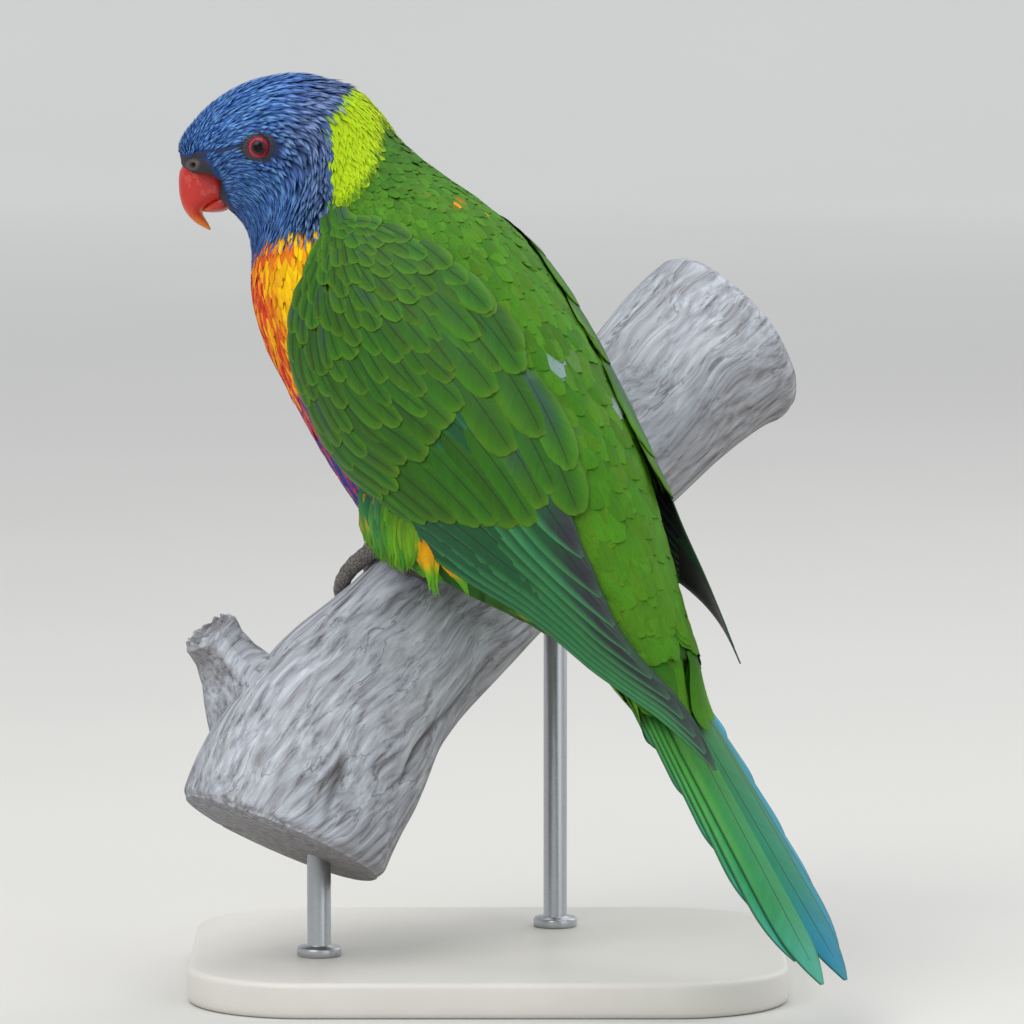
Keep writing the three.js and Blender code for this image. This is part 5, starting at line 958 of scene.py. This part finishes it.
def wood(ob):
    m = M("weathered_wood"); t = m.n("ShaderNodeSeparateColor", ins={0: m.attr("tint").outputs["Color"]}); tc = m.n("ShaderNodeTexCoord").outputs["Object"]
    mid, al, e, nr, r = perch_frame(np.array([1.0, 6.0])); ax = mid[1] - mid[0]; ax /= np.linalg.norm(ax)
    L = m.n("ShaderNodeVectorMath", operation="DOT_PRODUCT", ins={0: tc, 1: tuple(ax)}).outputs["Value"]
    along = m.n("ShaderNodeVectorMath", operation="SCALE", ins={0: tuple(ax)}); m.nt.links.new(L, along.inputs["Scale"])
    across = m.n("ShaderNodeVectorMath", operation="SUBTRACT", ins={0: tc, 1: along.outputs[0]}).outputs[0]
    wn = m.n("ShaderNodeTexNoise", ins={"Scale": 26.0, "Detail": 2.0, "Vector": tc})
    wv = m.n("ShaderNodeVectorMath", operation="SCALE", ins={0: m.n("ShaderNodeVectorMath", operation="SUBTRACT", ins={0: wn.outputs["Color"], 1: (0.5, 0.5, 0.5)}).outputs[0], "Scale": 0.016}).outputs[0]
    along2 = m.n("ShaderNodeVectorMath", operation="SCALE", ins={0: along.outputs[0], "Scale": 0.10}).outputs[0]
    V = m.n("ShaderNodeVectorMath", operation="ADD", ins={0: m.n("ShaderNodeVectorMath", operation="ADD", ins={0: across, 1: along2}).outputs[0], 1: wv}).outputs[0]
    g1 = m.n("ShaderNodeTexNoise", ins={"Scale": 520.0, "Detail": 6.0, "Roughness": 0.62, "Vector": V}); g2 = m.n("ShaderNodeTexNoise", ins={"Scale": 120.0, "Detail": 4.0, "Vector": V}); big = m.n("ShaderNodeTexNoise", ins={"Scale": 22.0, "Detail": 3.0, "Vector": tc})
    pores = m.n("ShaderNodeTexNoise", ins={"Scale": 900.0, "Detail": 2.0, "Vector": V})
    col = m.ramp(g1.outputs[0], [(0.30, srgb("5c5a60")), (0.42, srgb("989aa2")), (0.55, srgb("b9bec8")), (0.72, srgb("dde2ea"))])
    col = m.mixc(m.math("MULTIPLY", m.math("SUBTRACT", g2.outputs[0], 0.42), 1.0), col, srgb("a39e9a"), "MIX")
    blue = m.math("MULTIPLY", m.math("MAXIMUM", m.math("SUBTRACT", big.outputs[0], 0.48), 0.0), 2.2); col = m.mixc(blue, col, srgb("9aa0a8"))
    line = m.math("MULTIPLY", m.math("GREATER_THAN", m.math("ABSOLUTE", m.math("SUBTRACT", g2.outputs[0], 0.5)), 0.005), 1.0); col = m.mixc(m.math("MULTIPLY", m.math("SUBTRACT", 1.0, line), 0.40), col, srgb("4c453f"))
    col = m.mixc(m.math("MULTIPLY", m.math("LESS_THAN", pores.outputs[0], 0.33), 0.35), col, srgb("4c4a4c"))
    # painted shade: dark brown in the cracks and, at 0.55, in the snapped end's hollow
    col = m.mixc(m.math("MULTIPLY", t.outputs[2], 0.8), col, srgb("3a332d"))
    # browner and darker on the faces that turn downwards
    nz = m.n("ShaderNodeSeparateXYZ", ins={0: m.n("ShaderNodeTexCoord").outputs["Normal"]}).outputs[2]
    under = m.math("MULTIPLY", m.math("MAXIMUM", m.math("ADD", m.math("MULTIPLY", nz, -0.8), 0.1), 0.0), 0.75); col = m.mixc(under, col, srgb("6a6058"))
    h = m.math("ADD", m.math("ADD", g1.outputs[0], m.math("MULTIPLY", g2.outputs[0], 0.8)), m.math("MULTIPLY", line, 0.25))
    m.set(Base_Color=col, Roughness=0.82, Specular_IOR_Level=0.25, Normal=m.n("ShaderNodeBump", ins={"Strength": 0.75, "Distance": 0.0007, "Height": h}).outputs[0])
    return m.m
make_perch()

# ---------------------------------------------------------------------------------------------------- stand
def make_stand():
    m = M("base_paint"); tc = m.n("ShaderNodeTexCoord").outputs["Object"]; no = m.n("ShaderNodeTexNoise", ins={"Scale": 60.0, "Detail": 5.0, "Vector": tc}); fine = m.n("ShaderNodeTexNoise", ins={"Scale": 1400.0, "Detail": 3.0, "Vector": tc})
    m.set(Base_Color=m.mixc(no.outputs[0], srgb("dedbd3"), srgb("e9e6df")), Roughness=m.math("ADD", 0.34, m.math("MULTIPLY", no.outputs[0], 0.15)), Normal=m.n("ShaderNodeBump", ins={"Strength": 0.12, "Distance": 0.0001, "Height": fine.outputs[0]}).outputs[0])
    lo, hi = (np.array(p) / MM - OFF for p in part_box("stand_base")); cx, cy = (lo[0] + hi[0]) / 2, (lo[1] + hi[1]) / 2; hx, hy, rc = (hi[0] - lo[0]) / 2, (hi[1] - lo[1]) / 2, 30.0
    a = np.linspace(0, 2 * pi, 240, endpoint=False); ring = []
    def outline_at(inset):
        r = rc - inset; ca, sa = np.cos(a), np.sin(a)
        return np.stack([cx + np.sign(ca) * (hx - rc) + ca * r, cy + np.sign(sa) * (hy - rc) + sa * r], -1)
    z0, z1 = lo[2], hi[2]; b = 1.6
    for inset, z in [(b * 0.7, z0), (b * 0.2, z0 + b * 0.3), (0, z0 + b)] + [(0, z) for z in np.linspace(z0 + b, z1 - b, 4)[1:]] + [(b * (1 - cos(q)), z1 - b + b * sin(q)) for q in np.linspace(0.2, pi / 2, 7)] + [(b + 1.5, z1), (12, z1)]:
        o = outline_at(inset); ring.append(np.concatenate([o, np.full((len(a), 1), z)], 1))
    piece(closed_lofts("base_plate", [np.array(ring)], m.m), "base_paint", "stand_base")
    m = M("rod_steel"); tc = m.n("ShaderNodeTexCoord").outputs["Object"]
    st = m.n("ShaderNodeTexNoise", ins={"Scale": 1.0, "Detail": 3.0, "Vector": m.n("ShaderNodeVectorMath", operation="MULTIPLY", ins={0: tc, 1: (500.0, 500.0, 5000.0)}).outputs[0]})
    m.set(Base_Color=m.mixc(st.outputs[0], srgb("a9acb0"), srgb("c9cccf")), Metallic=1.0, Roughness=m.math("ADD", 0.24, m.math("MULTIPLY", st.outputs[0], 0.2)), Normal=m.n("ShaderNodeBump", ins={"Strength": 0.1, "Distance": 0.0001, "Height": st.outputs[0]}).outputs[0])
    for nm in ("stand_rod_lower", "stand_rod_upper"):
        lo, hi = (np.array(p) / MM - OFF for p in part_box(nm)); c = (lo + hi) / 2; prof = [(2.7, lo[2]), (3.0, lo[2] + 0.4)]
        bt = z1; prof += [(3.0, bt - 0.2), (5.4, bt + 0.05), (5.6, bt + 0.5), (5.6, bt + 1.9), (5.2, bt + 2.4), (3.1, bt + 2.6), (3.0, bt + 2.9), (3.0, hi[2] - 0.4), (2.6, hi[2])]
        g = np.linspace(0, 2 * pi, 56, endpoint=False); R = np.array([[(c[0] + r * cos(x), c[1] + r * sin(x), z) for x in g] for r, z in prof])
        piece(closed_lofts("steel_" + nm, [R], m.m), "rod_steel", nm)
make_stand()

# ---------------------------------------------------------------------------------------------------- floor, light, camera
def stage_set():
    m = M("pale_floor"); no = m.n("ShaderNodeTexNoise", ins={"Scale": 4.0, "Detail": 3.0, "Vector": m.n("ShaderNodeTexCoord").outputs["Object"]})
    far = m.n("ShaderNodeMapRange", ins={0: m.n("ShaderNodeVectorMath", operation="LENGTH", ins={0: m.n("ShaderNodeTexCoord").outputs["Object"]}).outputs["Value"], 1: 0.6, 2: 3.0, 3: 0.0, 4: 0.24}).outputs[0]
    m.set(Base_Color=m.mixc(no.outputs[0], srgb("d9d8d4"), srgb("dfdeda")), Roughness=0.85, Specular_IOR_Level=0.2, Emission_Color=(0.97, 0.98, 1.0, 1.0), Emission_Strength=far)
    # a wide shallow dish, so that the floor turns into the backdrop on every side
    prof = [(0.5, 0.0), (1.5, 0.0), (3.0, 0.0)] + [(3.0 + 1.0 * sin(q), 1.0 - 1.0 * cos(q)) for q in np.linspace(0.05, pi / 2, 24)] + [(4.0, 1.3)]
    g = 128; V = [(0.0, 0.0, 0.0)] + [(r * cos(2 * pi * j / g), r * sin(2 * pi * j / g), z) for r, z in prof for j in range(g)]
    F = [(0, 1 + j, 1 + (j + 1) % g) for j in range(g)] + [(1 + k * g + j, 1 + (k + 1) * g + j, 1 + (k + 1) * g + (j + 1) % g, 1 + k * g + (j + 1) % g) for k in range(len(prof) - 1) for j in range(g)]
    me = bpy.data.meshes.new("sweep"); me.from_pydata(V, [], F); me.update()
    me.polygons.foreach_set("use_smooth", [True] * len(me.polygons)); ob = bpy.data.objects.new("sweep", me); bpy.context.scene.collection.objects.link(ob); me.materials.append(m.m)
    m.m.cycles.emission_sampling = "NONE"
    sc = bpy.context.scene; sc.cycles.max_bounces = 5; sc.cycles.diffuse_bounces = 2; sc.cycles.glossy_bounces = 3; wd = bpy.data.worlds.new("sky"); sc.world = wd; wd.use_nodes = True; bg = wd.node_tree.nodes["Background"]; bg.inputs[0].default_value = (0.93, 0.96, 1.0, 1); bg.inputs[1].default_value = 0.50
    def area(name, loc, to, size, power, colr=(1, 1, 1)):
        l = bpy.data.lights.new(name, "AREA"); l.size = size; l.energy = power; l.color = colr; o = bpy.data.objects.new(name, l); sc.collection.objects.link(o); o.location = loc
        d = Vector(to) - Vector(loc); o.rotation_euler = d.to_track_quat("-Z", "Y").to_euler(); o.visible_camera = False; return o
    area("key", (-0.55, -0.75, 1.15), (0, 0, 0.14), 0.9, 9.0, (1, 0.985, 0.96)); area("top", (0.1, 0.25, 1.3), (0, 0, 0.12), 1.1, 6.0); area("fill", (0.9, -0.9, 0.7), (0, 0, 0.12), 1.0, 2.5, (0.95, 0.97, 1)); area("rim", (0.9, 0.8, 0.8), (0, 0, 0.12), 0.9, 3.0)
    cam = bpy.data.cameras.new("camera"); co = bpy.data.objects.new("camera", cam); sc.collection.objects.link(co)
    cam.sensor_width = 36; cam.lens = 36 * 2000 / 256; cam.clip_start = 0.1; cam.clip_end = 20
    tgt = OFF * MM; co.location = (tgt[0], tgt[1] - 2 * cos(TILT), tgt[2] + 2 * sin(TILT)); co.rotation_euler = (radians(84), 0, 0); sc.camera = co
    sc.view_settings.view_transform = "Standard"; sc.view_settings.look = "None"; sc.view_settings.exposure = 0.0
stage_set()
